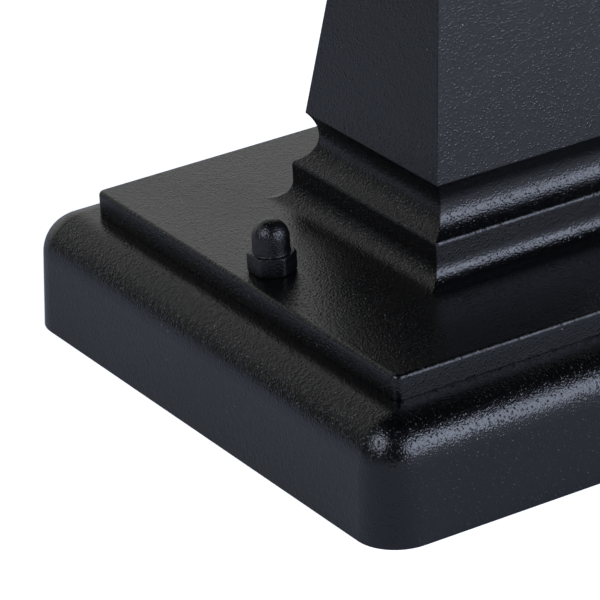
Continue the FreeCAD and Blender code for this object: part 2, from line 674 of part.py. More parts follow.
def bentTube(label, points, radius):
    """Tube along straight runs joined by tangent arcs, each as large as its two runs allow."""
    edges = []
    last = points[0]
    for i in range(1, len(points) - 1):
        before = points[i - 1] - points[i]
        after = points[i + 1] - points[i]
        turn = math.pi - before.getAngle(after)
        reach = 0.45 * min(before.Length, after.Length)
        before.normalize()
        after.normalize()
        start = points[i] + before * reach
        end = points[i] + after * reach
        bisector = (before + after).normalize()
        bend = reach / math.tan(turn / 2)
        middle = points[i] + bisector * (bend / math.cos(turn / 2) - bend)
        edges.append(Part.LineSegment(last, start).toShape())
        edges.append(Part.Arc(start, middle, end).toShape())
        last = end
    edges.append(Part.LineSegment(last, points[-1]).toShape())
    path = Part.Wire(edges)
    ring = Part.Wire([Part.Circle(points[0], points[1] - points[0], radius).toShape()])
    tube = doc.addObject("Part::Feature", label)
    tube.Shape = path.makePipeShell([ring], True, False)
    return tube


def makeLeads():
    """Three leads come down the tube and spread to their connectors. (x, y) in the bore, (x, y) at the connector."""
    top = value(name(holderFoot)) + value(name("stemLead + holderWire"))
    spreadFrom = value(name("%s - 0.4 * columnHeight" % columnTop))
    spreadTo = value(name("%s - 0.66 * columnHeight" % columnTop))
    mouth = value(name("connectorRise + connectorLength"))
    end = mouth - value(name("connectorLength * 0.4"))
    radius = value(name("leadDiameter / 2"))
    spread = value(name("leadSpread"))
    ways = (("lead_live", -1.25, -0.72, -1, -0.5), ("lead_neutral", 1.25, -0.72, 1, -0.5),
            ("lead_earth", 0, 1.45, 0, 1))
    connectors = []
    for label, x, y, sx, sy in ways:
        x, y = x * radius, y * radius
        cx, cy = sx * spread, sy * spread
        points = [FreeCAD.Vector(x, y, top), FreeCAD.Vector(x, y, spreadFrom), FreeCAD.Vector(cx, cy, spreadTo),
                  FreeCAD.Vector(cx, cy, end)]
        node(label, bentTube(label, points, radius))
        across, along = "%s * leadSpread" % sx, "%s * leadSpread" % sy
        blank = revolved(label + "_connector_blank", [
            ("0", "0"), ("connectorRadius * 0.55", "0"), ("connectorRadius * 0.62", "connectorLength * 0.08"),
            ("connectorRadius * 0.86", "connectorLength * 0.72"), ("connectorRadius", "connectorLength * 0.8"),
            ("connectorRadius", "connectorLength"), ("0", "connectorLength")], across, along, "connectorRise")
        hole = rod(label + "_connector_hole", "leadDiameter / 2 + threadSlack", "connectorLength * 0.4 + 1", across,
                   along, "connectorRise + connectorLength * 0.6")
        connectors.append(cut(label + "_connector", blank, [hole]))
    node("lead_connectors", group("lead_connectors", connectors))


# Lantern tray

def makeTray():
    neckFoot = "(%s + collarHeight)" % columnTop
    rimFoot = "(%s + traySweep)" % neckFoot
    sweepX = "(trayNeck / 2 + traySweep)"
    side = [("collarWidth / 2 - castEdge", columnTop, "castEdge", 1),
            ("collarWidth / 2", "%s + castEdge" % columnTop),
            ("collarWidth / 2", "%s - castEdge" % neckFoot, "castEdge", 1),
            ("collarWidth / 2 - castEdge", neckFoot),
            ("trayNeck / 2", neckFoot, "traySweep", -1),
            (sweepX, rimFoot),
            ("trayWidth / 2 - castEdge", rimFoot, "castEdge", 1),
            ("trayWidth / 2", "%s + castEdge" % rimFoot),
            ("trayWidth / 2", "%s - 2 * castEdge" % traySeat, "2 * castEdge", 1),
            ("trayWidth / 2 - 2 * castEdge", traySeat)]
    solid = mitred("tray_outside", side, "2 * trayWidth")
    floor = "(%s + trayFloor)" % neckFoot
    inside = "(traySweep + trayWall)"
    bowl = mitred("tray_inside", [
        ("%s - sqrt(%s ^ 2 - trayFloor ^ 2)" % (sweepX, inside), floor, inside, -1),
        ("trayMouth / 2", "%s + sqrt(%s ^ 2 - (%s - trayMouth / 2) ^ 2)" % (neckFoot, inside, sweepX)),
        ("trayMouth / 2", "%s + past" % traySeat)], "2 * trayWidth")
    tools = [bowl, rod("tray_stem_hole", "stemDiameter / 2 + stemSlack", "2 * traySweep",
                       z="%s - traySweep" % columnTop)]
    for i, (x, y) in enumerate(fourCorners("(traySpacing / 2)")):
        tools.append(rod("tray_screw_hole_%d" % i, "trayScrewDiameter / 2 + stemSlack", "2 * trayRim", x, y,
                         "%s - 2 * trayRim + past" % traySeat))
    node("lantern_tray", cut("lantern_tray", solid, tools))
    screws = [screwUp("tray_screw_%d" % i, "trayScrewDiameter", "trayScrewDiameter * 0.9", "smallHead",
                      "trayRim + trayScrewDepth - studShort", x, y, rimFoot)
              for i, (x, y) in enumerate(fourCorners("(traySpacing / 2)"))]
    node("tray_screws", group("tray_screws", screws))


# Cage

def hingeHeights():
    return ("(%s + hingeInset)" % doorLow, "(%s - hingeInset)" % doorHigh)


def makeCage():
    blank = padded("cage_blank", "XY_Plane", rounded(cageHalf, "cageCorner"), "cageHeight", traySeat)
    inner = "(cageWidth - 2 * cageWall)"
    between = "(cageWidth - 2 * cageBoss)"
    tall = "(cageHeight + 2 * past)"
    low = "(%s - past)" % traySeat
    window = "(cageHeight - 2 * windowMargin)"
    windowFoot = "(%s + windowMargin)" % traySeat
    tools = [box("cage_hollow_x", inner, between, tall, z=low),
             box("cage_hollow_y", between, inner, tall, z=low),
             box("cage_side_windows", "2 * cageWidth", "windowWidth", window, z=windowFoot),
             box("cage_rear_window", "windowWidth", "cageWidth", window, y=cageHalf, z=windowFoot),
             box("cage_doorway", "doorwayWidth", "cageWidth", "cageHeight - 2 * doorwayMargin",
                 y="-" + cageHalf, z="%s + doorwayMargin" % traySeat)]
    frame = cut("cage_frame", blank, tools)
    doc.recompute()
    edges = softened("cage_softened", frame, "castEdge", onCageFace)
    ears = []
    bores = []
    for i, middle in enumerate(hingeHeights()):
        for k, sign in enumerate(("-", "+")):
            foot = "%s %s (knuckleHeight + knuckleGap) - knuckleHeight / 2" % (middle, sign)
            ears.append(rod("ear_%d_%d" % (i, k), "knuckleRadius", "knuckleHeight", hingeX, hingeY, foot))
            ears.append(box("ear_web_%d_%d" % (i, k), "earWidth", "hingeStand + 1.5 * earFoot", "knuckleHeight",
                            "%s - earWidth - castEdge" % hingeX, "%s - earFoot" % hingeY, foot, centred=""))
        bores.append(rod("ear_bore_%d" % i, "pinRadius + threadSlack", "6 * knuckleHeight", hingeX, hingeY,
                         "%s - 3 * knuckleHeight" % middle))
    for i, (x, y) in enumerate(fourCorners("(traySpacing / 2)")):
        bores.append(rod("cage_tray_thread_%d" % i, "trayScrewDiameter / 2 + threadSlack", "trayScrewDepth + past", x,
                         y, low))
    bores.append(bridgeStrap("cage_notch", "bridgeWidth + bridgeGap", "cageWidth + 2 * past",
                             "%s - bridgeThick" % cageTop, "bridgeThick + past"))
    for i, (x, y) in enumerate(bridgeCorners()):
        bores.append(rod("cage_bridge_thread_%d" % i, "trayScrewDiameter / 2 + threadSlack",
                         "bridgeThick + bridgeScrewDepth", x, y, "%s - bridgeThick - bridgeScrewDepth" % cageTop))
    node("lantern_cage", cut("lantern_cage", fuse("cage_with_ears", [edges] + ears), bores))


def onCageFace(edge):
    """Edges of the windows and of the doorway on the cage's outer faces."""
    half = value(name(cageHalf))
    limits = edge.BoundBox
    low, high = value(name(traySeat)), value(name(cageTop))
    inside = limits.ZMin > low + 0.5 and limits.ZMax < high - 0.5
    onX = limits.XLength < 0.01 and abs(abs(limits.XMin) - half) < 0.01 and limits.YMin > -half + 3
    onY = limits.YLength < 0.01 and abs(abs(limits.YMin) - half) < 0.01 and limits.XMin > -half + 3
    return inside and (onX and limits.YMax < half - 3 or onY and limits.XMax < half - 3)


def bridgeCorners():
    inset = "(cageWidth / 2 - bridgeScrewInset)"
    return (("-" + inset, "-" + inset), (inset, inset))


def bridgeStrap(label, width, limit, foot, height):
    """Flat strap from corner to corner, with pointed ends that stay inside a square."""
    long = doc.addObject("Part::Box", label + "_long")
    bind(long, "Length", "2 * cageWidth")
    bind(long, "Width", width)
    bind(long, "Height", height)
    turn = FreeCAD.Rotation(FreeCAD.Vector(0, 0, 1), 45)
    long.Placement.Rotation = turn
    place(long, "-cageWidth / sqrt(2) + (%s) / 2 / sqrt(2)" % width,
          "-cageWidth / sqrt(2) - (%s) / 2 / sqrt(2)" % width, foot)
    square = box(label + "_square", limit, limit, height, z=foot)
    both = doc.addObject("Part::MultiCommon", label)
    both.Shapes = [long, square]
    return both


# Fixed panes

def makeGlass():
    tall = "(cageHeight - bridgeThick - glassGap)"
    wide = "(windowWidth + 2 * glassLap)"
    middle = "(cageWidth / 2 - cageWall - glassThick / 2)"
    for label, sign in (("glass_left", "-"), ("glass_right", "")):
        node(label, box(label, "glassThick", wide, tall, x=sign + middle, z=traySeat))
    node("glass_rear", box("glass_rear", wide, "glassThick", tall, y=middle, z=traySeat))
    face = "(cageWidth / 2 - cageWall - glassThick)"
    strips = []
    for sx in (-1, 1):
        rear = [("%d * %s" % (sx, face), face), ("%d * (%s - stripLeg)" % (sx, face), face),
                ("%d * (%s - stripLeg)" % (sx, face), "%s - stripThick" % face),
                ("%d * (%s - stripThick)" % (sx, face), "%s - stripThick" % face),
                ("%d * (%s - stripThick)" % (sx, face), "%s - stripLeg" % face),
                ("%d * %s" % (sx, face), "%s - stripLeg" % face)]
        front = [("%d * (%s + glassThick)" % (sx, face), "-" + face),
                 ("%d * (%s + glassThick)" % (sx, face), "-(%s - stripThick)" % face),
                 ("%d * %s" % (sx, face), "-(%s - stripThick)" % face),
                 ("%d * %s" % (sx, face), "-(%s - stripLeg)" % face),
                 ("%d * (%s - stripThick)" % (sx, face), "-(%s - stripLeg)" % face),
                 ("%d * (%s - stripThick)" % (sx, face), "-" + face)]
        tag = "left" if sx < 0 else "right"
        strips.append(padded("strip_rear_" + tag, "XY_Plane", rear, tall, traySeat))
        strips.append(padded("strip_front_" + tag, "XY_Plane", front, tall, traySeat))
    node("glazing_strips", group("glazing_strips", strips))


# Door

doorInner = "(-cageWidth / 2 + doorThick)"
doorHalf = "(doorwayWidth / 2 - doorGap)"
doorTall = "(cageHeight - 2 * doorwayMargin - 2 * doorGap)"
stileMiddle = "(%s - doorStile / 2 + 0.8)" % doorHalf
catchHeight = "(%s + 22)" % doorMiddle
bladeX = "(%s + 1.4)" % stileMiddle


def onDoorFace(edge):
    limits = edge.BoundBox
    front = value(name("-" + cageHalf))
    return limits.YLength < 0.01 and abs(limits.YMin - front) < 0.01


def makeDoor():
    frame = box("door_blank", "2 * " + doorHalf, "doorThick", doorTall, y="-%s + doorThick / 2" % cageHalf,
                z=doorLow)
    opening = box("door_window", "2 * (%s - doorStile)" % doorHalf, "3 * doorThick", doorTall + " - 2 * doorRail",
                  y="-" + cageHalf, z="%s + doorRail" % doorLow)
    ring = cut("door_ring", frame, [opening])
    soft = softened("door_softened", ring, "castEdge", onDoorFace)
    parts = [soft]
    bores = [rod("door_knob_hole", "knobScrewDiameter / 2 + threadSlack", "4 * doorThick", stileMiddle,
                 "-cageWidth / 2 - doorThick", doorMiddle, axis="y"),
             catchBlade("door_blade_slot", "threadSlack")]
    for i, middle in enumerate(hingeHeights()):
        foot = "%s - knuckleHeight / 2" % middle
        parts.append(rod("door_knuckle_%d" % i, "knuckleRadius", "knuckleHeight", hingeX, hingeY, foot))
        parts.append(box("door_web_%d" % i, "5", "hingeStand + 1", "knuckleHeight", hingeX, hingeY, foot,
                         centred=""))
        bores.append(rod("door_bore_%d" % i, "pinRadius + pinSlack", "3 * knuckleHeight", hingeX, hingeY,
                         "%s - 1.5 * knuckleHeight" % middle))
    node("door_frame", cut("door_frame", fuse("door_with_knuckles", parts), bores))
    lap = "2 * (%s - doorStile + doorGlassLap)" % doorHalf
    node("door_glass", box("door_glass", lap, "doorGlassThick", doorTall + " - 2 * doorRail + 2 * doorGlassLap",
                           y=doorInner + " + doorGlassThick / 2", z="%s + doorRail - doorGlassLap" % doorLow))


def makeDoorFittings():
    paneEdge = "(%s - doorStile + doorGlassLap)" % doorHalf
    clips = []
    for sx in ("-", ""):
        for k, lift in enumerate(("-0.3 * cageHeight", "0.3 * cageHeight")):
            label = "door_clip_%s%d" % ("left" if sx else "right", k)
            middle = "%s(%s + clipLength / 2 + 0.2)" % (sx, paneEdge)
            foot = box(label + "_foot", "clipLength", "doorGlassThick", "clipWidth", middle,
                       doorInner + " + doorGlassThick / 2", doorMiddle + " + " + lift, "xyz")
            tab = box(label + "_tab", "clipLength + doorGlassLap", "clipThick", "clipWidth",
                      "%s(%s + clipLength / 2 + 0.2 - doorGlassLap / 2)" % (sx, paneEdge),
                      doorInner + " + doorGlassThick + clipThick / 2", doorMiddle + " + " + lift, "xyz")
            head = rod(label + "_rivet", "clipWidth * 0.2", "clipThick + 0.7", middle,
                       doorInner + " + doorGlassThick", doorMiddle + " + " + lift, axis="y")
            clips.append(fuse(label, [foot, tab, head]))
    node("door_clips", group("door_clips", clips))
    neck = "(knobRadius * 0.5)"
    knob = revolved("knob_blank", [
        ("0", "0"), ("knobRadius * 0.75", "0"), ("knobRadius * 0.75", "0.8"), (neck, "1.4"),
        (neck, "knobLength - knobRadius - sqrt(knobRadius ^ 2 - %s ^ 2)" % neck, "knobRadius", 1),
        ("0", "knobLength")])
    hole = rod("knob_thread", "knobScrewDiameter / 2 + threadSlack", "knobLength * 0.6")
    turned = cut("door_knob", knob, [hole])
    turned.Placement.Rotation = FreeCAD.Rotation(FreeCAD.Vector(1, 0, 0), 90)
    place(turned, stileMiddle, "-" + cageHalf, doorMiddle)
    node("door_knob", turned)
    r = "knobScrewDiameter / 2"
    screw = revolved("knob_screw", [
        ("0", "-smallHead"), ("knobScrewDiameter * 0.55", "-smallHead"),
        ("knobScrewDiameter * 0.9", "-smallHead / 2"),
        ("knobScrewDiameter * 0.9", "0"), (r, "0"), (r, "doorThick + knobLength * 0.5"),
        ("0", "doorThick + knobLength * 0.5")])
    screw.Placement.Rotation = FreeCAD.Rotation(FreeCAD.Vector(1, 0, 0), 90)
    place(screw, stileMiddle, doorInner, doorMiddle)
    node("knob_screw", screw)
    node("catch_blade", catchBlade("catch_blade"))
    wall, face = "(doorwayWidth / 2)", doorInner + " + 0.6"
    depth = "(cageBoss - doorThick - 0.6)"
    tip = "(%s - bladeWidth / 2)" % bladeX
    stop = "(cageWidth / 2 - cageWall - glassThick - stripThick - 0.2)"
    leaves = [box("catch_base", "leafThick", depth, "6 * leafThick + bladeThick", wall + " - leafThick / 2",
                  face + " + %s / 2" % depth, catchHeight, "xyz")]
    for k, sign in enumerate(("-", "+")):
        lift = "%s %s (bladeThick / 2 + bladeGap + leafThick / 2)" % (catchHeight, sign)
        leaves.append(box("catch_leaf_%d" % k, "%s - %s" % (stop, tip), "bladeReach - 1", "leafThick",
                          "(%s + %s) / 2" % (stop, tip), face + " + (bladeReach - 1) / 2", lift, "xyz"))
        leaves.append(box("catch_arm_%d" % k, "%s - %s + 0.5" % (wall, stop), depth, "leafThick",
                          "(%s + %s - 0.5) / 2" % (wall, stop), face + " + %s / 2" % depth, lift, "xyz"))
    node("catch_spring", fuse("catch_spring", leaves))


def catchBlade(label, slack="0"):
    """Flat tongue that is let into the back of the door's stile and reaches in between the spring's leaves."""
    return box(label, "bladeWidth + 2 * %s" % slack, "bladeSlot + bladeReach", "bladeThick + 2 * %s" % slack,
               bladeX, doorInner + " + (bladeReach - bladeSlot) / 2", catchHeight, "xyz")


def makePins():
    pins = []
    for i, middle in enumerate(hingeHeights()):
        low = "%s - 1.5 * knuckleHeight - knuckleGap" % middle
        length = "3 * knuckleHeight + 2 * knuckleGap"
        pins.append(revolved("hinge_pin_%d" % i, [
            ("0", "0"), ("pinRadius", "0"), ("pinRadius", length), ("pinHead", length),
            ("pinHead", length + " + pinHeadHeight * 0.6"), ("pinHead * 0.7", length + " + pinHeadHeight"),
            ("0", length + " + pinHeadHeight")], hingeX, hingeY, low))
    node("hinge_pins", group("hinge_pins", pins))


# Lampholder and lamp

def makeLampholder():
    wireRoom = "(stemLead + holderWire)"
    cavity = "(holderHeight - shellDepth)"
    node("lampholder", revolved("lampholder", [
        ("stemDiameter / 2 + threadSlack", "0"), ("holderRadius * 0.62", "0"), ("holderRadius * 0.7", "1.2"),
        ("holderRadius * 0.7", "holderHeight * 0.2"), ("holderRadius * 0.92", "holderHeight * 0.36"),
        ("holderRadius * 0.92", "holderHeight * 0.86"), ("holderRadius", "holderHeight * 0.89"),
        ("holderRadius", "holderHeight - 1.5", "1.5", 1), ("holderRadius - 1.5", "holderHeight"),
        ("shellRadius + threadSlack", "holderHeight"), ("shellRadius + threadSlack", cavity),
        ("1.5", cavity), ("1.5", wireRoom), ("holderRadius * 0.48", wireRoom),
        ("holderRadius * 0.48", "stemLead"), ("stemDiameter / 2 + threadSlack", "stemLead")],
        z=holderFoot))
    node("lampholder_shell", revolved("lampholder_shell", [
        ("shellRadius - shellWall", "0"), ("shellRadius", "0"), ("shellRadius", "shellDepth - 1"),
        ("shellRadius - shellWall", "shellDepth - 1")], z="%s + %s" % (holderFoot, cavity)))
    node("lampholder_contact", revolved("lampholder_contact", [
        ("0", "0"), ("4", "0"), ("4", "0.6"), ("2.2", "0.6"), ("2.2", "1.95"), ("0", "1.95")],
        z="%s + %s" % (holderFoot, cavity)))


def makeLamp():
    r = "lampCapRadius"
    turns = 6
    pitch = "(lampCapHeight * 0.62 / %d)" % turns
    side = [("0", "0"), ("%s * 0.33" % r, "0"), ("%s * 0.4" % r, "1.2"), ("%s * 0.86" % r, "4.5")]
    for i in range(turns):
        foot = "4.5 + %d * %s" % (i, pitch)
        side.append((r + " - 0.7", "%s + %s * 0.25" % (foot, pitch)))
        side.append((r, "%s + %s * 0.75" % (foot, pitch)))
    side += [(r + " - 0.7", "4.5 + %d * %s" % (turns, pitch)), (r, "lampCapHeight - 3"), (r, "lampCapHeight"),
             ("0", "lampCapHeight")]
    node("bulb_cap", revolved("bulb_cap", side, z=lampFoot))
    node("bulb_glass", revolved("bulb_glass", bulbSide("0", 1) + bulbSide("bulbWall", -1), z=bulbFoot))
    disc = "filamentRing + filamentRadius"
    stem = revolved("stem_core", [
        ("0", "0"), ("bulbNeck * 0.5", "0"), ("bulbNeck * 0.3", "5"), ("bulbNeck * 0.2", "bulbHeight * 0.28"),
        (disc, "bulbHeight * 0.28"), (disc, "bulbHeight * 0.28 + 0.8"),
        ("0", "bulbHeight * 0.28 + 0.8")])
    parts = [stem]
    for i in range(4):
        angle = math.pi / 2 * i + math.pi / 4
        sx, sy = round(math.cos(angle), 6), round(math.sin(angle), 6)
        parts.append(rod("filament_%d" % i, "filamentRadius", "bulbHeight * 0.46",
                         "%s * (filamentRing - filamentRadius)" % sx, "%s * (filamentRing - filamentRadius)" % sy,
                         "bulbHeight * 0.28"))
    parts.append(rod("filament_top", disc, "0.8", z="bulbHeight * 0.74"))
    spider = fuse("bulb_stem", parts)
    node("bulb_stem", place(spider, z=bulbFoot))


def bulbSide(wall, way):
    """Half outline of the bulb, offset inwards by a wall: up on the outside, or down on the inside."""
    ball = "(bulbRadius - %s)" % wall
    neck = "(bulbNeck - %s)" % wall
    sweep = "(bulbSweep + %s)" % wall
    centre = "(bulbHeight - bulbRadius)"
    cosine = "((%s + %s) / (%s + %s))" % (sweep, neck, sweep, ball)
    sine = "sqrt(1 - %s ^ 2)" % cosine
    startZ = "(%s - (%s + %s) * %s)" % (centre, sweep, ball, sine)
    joinX, joinZ = "(%s * %s)" % (ball, cosine), "(%s - %s * %s)" % (centre, ball, sine)
    top = "(%s + %s)" % (centre, ball)
    if way > 0:
        return [(neck, "0"), (neck, startZ, sweep, -1), (joinX, joinZ, ball, 1), ("0", top)]
    return [("0", top, ball, -1), (joinX, joinZ, sweep, 1), (neck, startZ), (neck, "0")]


# Roof

def makeRoof():
    footX, footZ = "(roofWidth / 2 - roofStep)", "(%s + roofFascia)" % cageTop
    runX, runZ = "(%s - roofCrown / 2)" % footX, "roofRise"
    chord = "sqrt(%s ^ 2 + %s ^ 2)" % (runX, runZ)
    lift = "sqrt(roofSag ^ 2 - %s ^ 2 / 4)" % chord
    centreX = "((%s + roofCrown / 2) / 2 + %s * %s / %s)" % (footX, lift, runZ, chord)
    centreZ = "(%s + roofRise / 2 + %s * %s / %s)" % (footZ, lift, runX, chord)
    outside = mitred("roof_outside", [
        ("roofWidth / 2 - castEdge", "%s - roofDrop" % cageTop, "castEdge", 1),
        ("roofWidth / 2", "%s - roofDrop + castEdge" % cageTop),
        ("roofWidth / 2", "%s - castEdge" % footZ, "castEdge", 1),
        ("roofWidth / 2 - castEdge", footZ), (footX, footZ, "roofSag", -1), ("roofCrown / 2", crown)],
        "2 * roofWidth")
    inner = "(roofSag + roofWall)"
    lip = "(cageWidth / 2 - roofSeat)"
    under = "(%s - roofWall)" % crown
    inside = mitred("roof_inside", [
        (lip, "%s - roofDrop - 1" % cageTop),
        (lip, "%s - sqrt(%s ^ 2 - (%s - %s) ^ 2)" % (centreZ, inner, centreX, lip), inner, -1),
        ("%s - sqrt(%s ^ 2 - (%s - %s) ^ 2)" % (centreX, inner, centreZ, under), under)], "2 * roofWidth")
    socketWide = "(cageWidth + 2 * roofSlack)"
    socket = box("roof_socket", socketWide, socketWide, "roofDrop + 1", z="%s - roofDrop - 1" % cageTop)
    outerDrip, innerDrip = "(roofWidth - 2 * roofWall)", "(cageWidth + 2 * roofWall)"
    channel = cut("roof_channel", box("channel_outer", outerDrip, outerDrip, "roofDrop + 3",
                                      z="%s - roofDrop - 1" % cageTop),
                  [box("channel_inner", innerDrip, innerDrip, "roofDrop + 5", z="%s - roofDrop - 2" % cageTop)])
    tools = [inside, socket, channel,
             rod("roof_rod_hole", "rodDiameter / 2 + stemSlack", "2 * roofRise", z="%s - roofRise" % crown)]
    for i, (sx, sy) in enumerate(((1, 0), (0, 1), (-1, 0), (0, -1))):
        tools.append(rod("roof_vent_%d" % i, "ventHole / 2", "2 * roofWall", "%d * ventWidth / 4" % sx,
                         "%d * ventWidth / 4" % sy, "%s - 1.5 * roofWall" % crown))
    node("roof", cut("roof", outside, tools))


def makeBridge():
    strap = bridgeStrap("bridge_strap", "bridgeWidth", "cageWidth - 2", "%s - bridgeThick" % cageTop, "bridgeThick")
    tools = [rod("bridge_rod_hole", "rodDiameter / 2 + threadSlack", "4 * bridgeThick",
                 z="%s - 2 * bridgeThick" % cageTop)]
    screws = []
    for i, (x, y) in enumerate(bridgeCorners()):
        tools.append(rod("bridge_hole_%d" % i, "trayScrewDiameter / 2 + stemSlack", "4 * bridgeThick", x, y,
                         "%s - 2 * bridgeThick" % cageTop))
        screws.append(revolved("bridge_screw_%d" % i, [
            ("0", "-bridgeThick - 7"), ("trayScrewDiameter / 2", "-bridgeThick - 7"),
            ("trayScrewDiameter / 2", "0"), ("trayScrewDiameter * 0.9", "0"),
            ("trayScrewDiameter * 0.9", "smallHead / 2"), ("trayScrewDiameter * 0.5", "smallHead"),
            ("0", "smallHead")], x, y, cageTop))
    node("roof_bridge", cut("roof_bridge", strap, tools))
    node("bridge_screws", group("bridge_screws", screws))
    top = "(%s + finialHeight * 0.5)" % finialFoot
    foot = "(%s - bridgeThick - rodNutThick - 2)" % cageTop
    node("roof_rod", rod("roof_rod", "rodDiameter / 2", "%s - %s" % (top, foot), z=foot))
    blank = hexagon("rod_nut_blank", "rodNutFlats", "rodNutThick", z="%s - bridgeThick - rodNutThick" % cageTop)
    hole = rod("rod_nut_hole", "rodDiameter / 2 + threadSlack", "4 * rodNutThick",
               z="%s - bridgeThick - 3 * rodNutThick" % cageTop)
    node("rod_nut", cut("rod_nut", blank, [hole]))


def makeVent():
    hole = "rodDiameter / 2 + stemSlack"
    collar = box("vent_blank", "ventWidth", "ventWidth", "ventHeight", z=crown)
    inside = "(ventWidth - 2 * ventWall)"
    tools = [box("vent_inside", inside, inside, "ventHeight + 2", z="%s - 1" % crown)]
    for k, (length, width) in enumerate((("2 * ventWidth", "ventSlot"), ("ventSlot", "2 * ventWidth"))):
        tools.append(box("vent_slot_%d" % k, length, width, "ventHeight * 0.5", z="%s + ventHeight * 0.25" % crown))
    node("vent_collar", cut("vent_collar", collar, tools))
    cap = mitred("vent_cap_solid", [
        ("ventCapWidth / 2", ventTop), ("ventCapWidth / 2", "%s + ventCapEdge" % ventTop),
        ("ventCapWidth / 2 - 1.2", "%s + ventCapEdge" % ventTop, "ventCapWidth", -1),
        ("finialRadius", finialFoot)], "2 * ventCapWidth")
    node("vent_cap", cut("vent_cap", cap, [rod("vent_cap_hole", hole, "4 * ventCapRise",
                                               z="%s - 2 * ventCapRise" % finialFoot)]))
    neck = "(finialRadius * 0.55)"
    collarTop = "(finialHeight * 0.1)"
    blank = revolved("finial_blank", [
        ("0", "0"), ("finialRadius", "0"), ("finialRadius", collarTop, "finialRadius - %s" % neck, -1),
        (neck, "%s + finialRadius - %s" % (collarTop, neck)),
        (neck, "finialHeight - finialRadius - sqrt(finialRadius ^ 2 - %s ^ 2)" % neck, "finialRadius", 1),
        ("0", "finialHeight")], z=finialFoot)
    thread = rod("finial_thread", "rodDiameter / 2 + threadSlack", "finialHeight * 0.55", z=finialFoot)
    node("finial", cut("finial", blank, [thread]))


for make in (makePostCap, makeBar, makeBarScrews, makeStuds, makeGrommet, makePedestal, makeGasket, makeCapNuts,
             makeStem, makeLeads, makeTray, makeCage, makeGlass, makeDoor, makeDoorFittings, makePins,
             makeLampholder, makeLamp, makeRoof, makeBridge, makeVent):
    make()
doc.recompute()

faults = [thing.Name for thing in doc.Objects if "Invalid" in thing.State or "Error" in thing.State]
for thing in nodes:
    if thing.Shape.isNull() or not thing.Shape.isValid() or not thing.Shape.Solids:
        faults.append(thing.Label)
if faults:
    raise RuntimeError("not built: " + ", ".join(faults))

os.makedirs("parts", exist_ok=True)
for thing in nodes:
    thing.Shape.exportStep("parts/%s.step" % thing.Label)
    print(thing.Label, len(thing.Shape.Solids), "solids", round(thing.Shape.Volume, 1), "mm3")
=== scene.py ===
import json
import math
import bpy
from mathutils import Matrix, Vector


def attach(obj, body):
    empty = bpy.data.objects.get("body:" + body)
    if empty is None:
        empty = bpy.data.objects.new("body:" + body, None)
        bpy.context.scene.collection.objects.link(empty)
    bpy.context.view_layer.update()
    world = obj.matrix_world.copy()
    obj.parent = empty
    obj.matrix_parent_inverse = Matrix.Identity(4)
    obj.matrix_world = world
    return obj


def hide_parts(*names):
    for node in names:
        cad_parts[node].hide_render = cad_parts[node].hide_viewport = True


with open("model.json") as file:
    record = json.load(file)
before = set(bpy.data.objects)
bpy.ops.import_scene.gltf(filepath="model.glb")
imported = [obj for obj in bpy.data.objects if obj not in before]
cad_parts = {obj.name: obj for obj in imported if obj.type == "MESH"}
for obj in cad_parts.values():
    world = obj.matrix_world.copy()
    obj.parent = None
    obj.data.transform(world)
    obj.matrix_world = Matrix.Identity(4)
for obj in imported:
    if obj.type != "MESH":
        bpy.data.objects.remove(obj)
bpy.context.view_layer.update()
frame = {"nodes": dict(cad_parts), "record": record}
nodes = frame["nodes"]
scene = bpy.context.scene


def wayTo(azimuth, elevation):  # degrees, from -Y towards +X and up
    turn, lift = math.radians(azimuth), math.radians(elevation)
    return Vector((math.sin(turn) * math.cos(lift), -math.cos(turn) * math.cos(lift), math.sin(lift)))


# camera, where the photograph's stood
camera = {
    "azimuth": 58.690,
    "elevation": 25.150,
    "roll": -3.135,
    "lens": 282.07, "sensor": 36,  # both in mm
    "aim": (-0.04268, -0.02017, 0.0),
    "distance": 1.0859,
    "clip": (0.01, 100),
}


def makeCamera():
    back = wayTo(camera["azimuth"], camera["elevation"])
    turn, roll = math.radians(camera["azimuth"]), math.radians(camera["roll"])
    right = Vector((math.cos(turn), math.sin(turn), 0))
    up = back.cross(right)
    right, up = math.cos(roll) * right + math.sin(roll) * up, math.cos(roll) * up - math.sin(roll) * right
    data = bpy.data.cameras.new("photoCamera")
    data.lens = camera["lens"]
    data.sensor_width = camera["sensor"]
    data.clip_start, data.clip_end = camera["clip"]
    eye = bpy.data.objects.new("photoCamera", data)
    scene.collection.objects.link(eye)
    eye.matrix_world = Matrix((right, up, back)).transposed().to_4x4()
    eye.location = Vector(camera["aim"]) + back * camera["distance"]
    scene.camera = eye


makeCamera()
scene.view_settings.view_transform = "Standard"
print("camera set")


# small helpers for materials

def linear(code):  # sRGB hex to the linear values a shader takes
    parts = [int(code[i:i + 2], 16) / 255 for i in (1, 3, 5)]
    return (*(c / 12.92 if c <= 0.04045 else ((c + 0.055) / 1.055) ** 2.4 for c in parts), 1.0)


def perMm(size):  # texture scale for a pattern whose cells are this many millimetres wide
    return 1000.0 / size


def mm(size):
    return size / 1000.0


def addNode(tree, kind, settings, links=None):  # a lower case key is the node's own setting, any other a socket
    node = tree.nodes.new("ShaderNode" + kind)
    for key, setting in settings.items():
        if isinstance(key, str) and key[0].islower():
            setattr(node, key, setting)
        else:
            node.inputs[key].default_value = setting
    for key, source in (links or {}).items():
        tree.links.new(source, node.inputs[key])
    return node


def newMaterial(name, settings):
    material = bpy.data.materials.new(name)
    material.use_nodes = True
    tree = material.node_tree
    tree.nodes.clear()
    shader = addNode(tree, "BsdfPrincipled", settings)
    addNode(tree, "OutputMaterial", {}, {"Surface": shader.outputs[0]})
    place = addNode(tree, "TexCoord", {}).outputs["Object"]
    return material, tree, shader, place


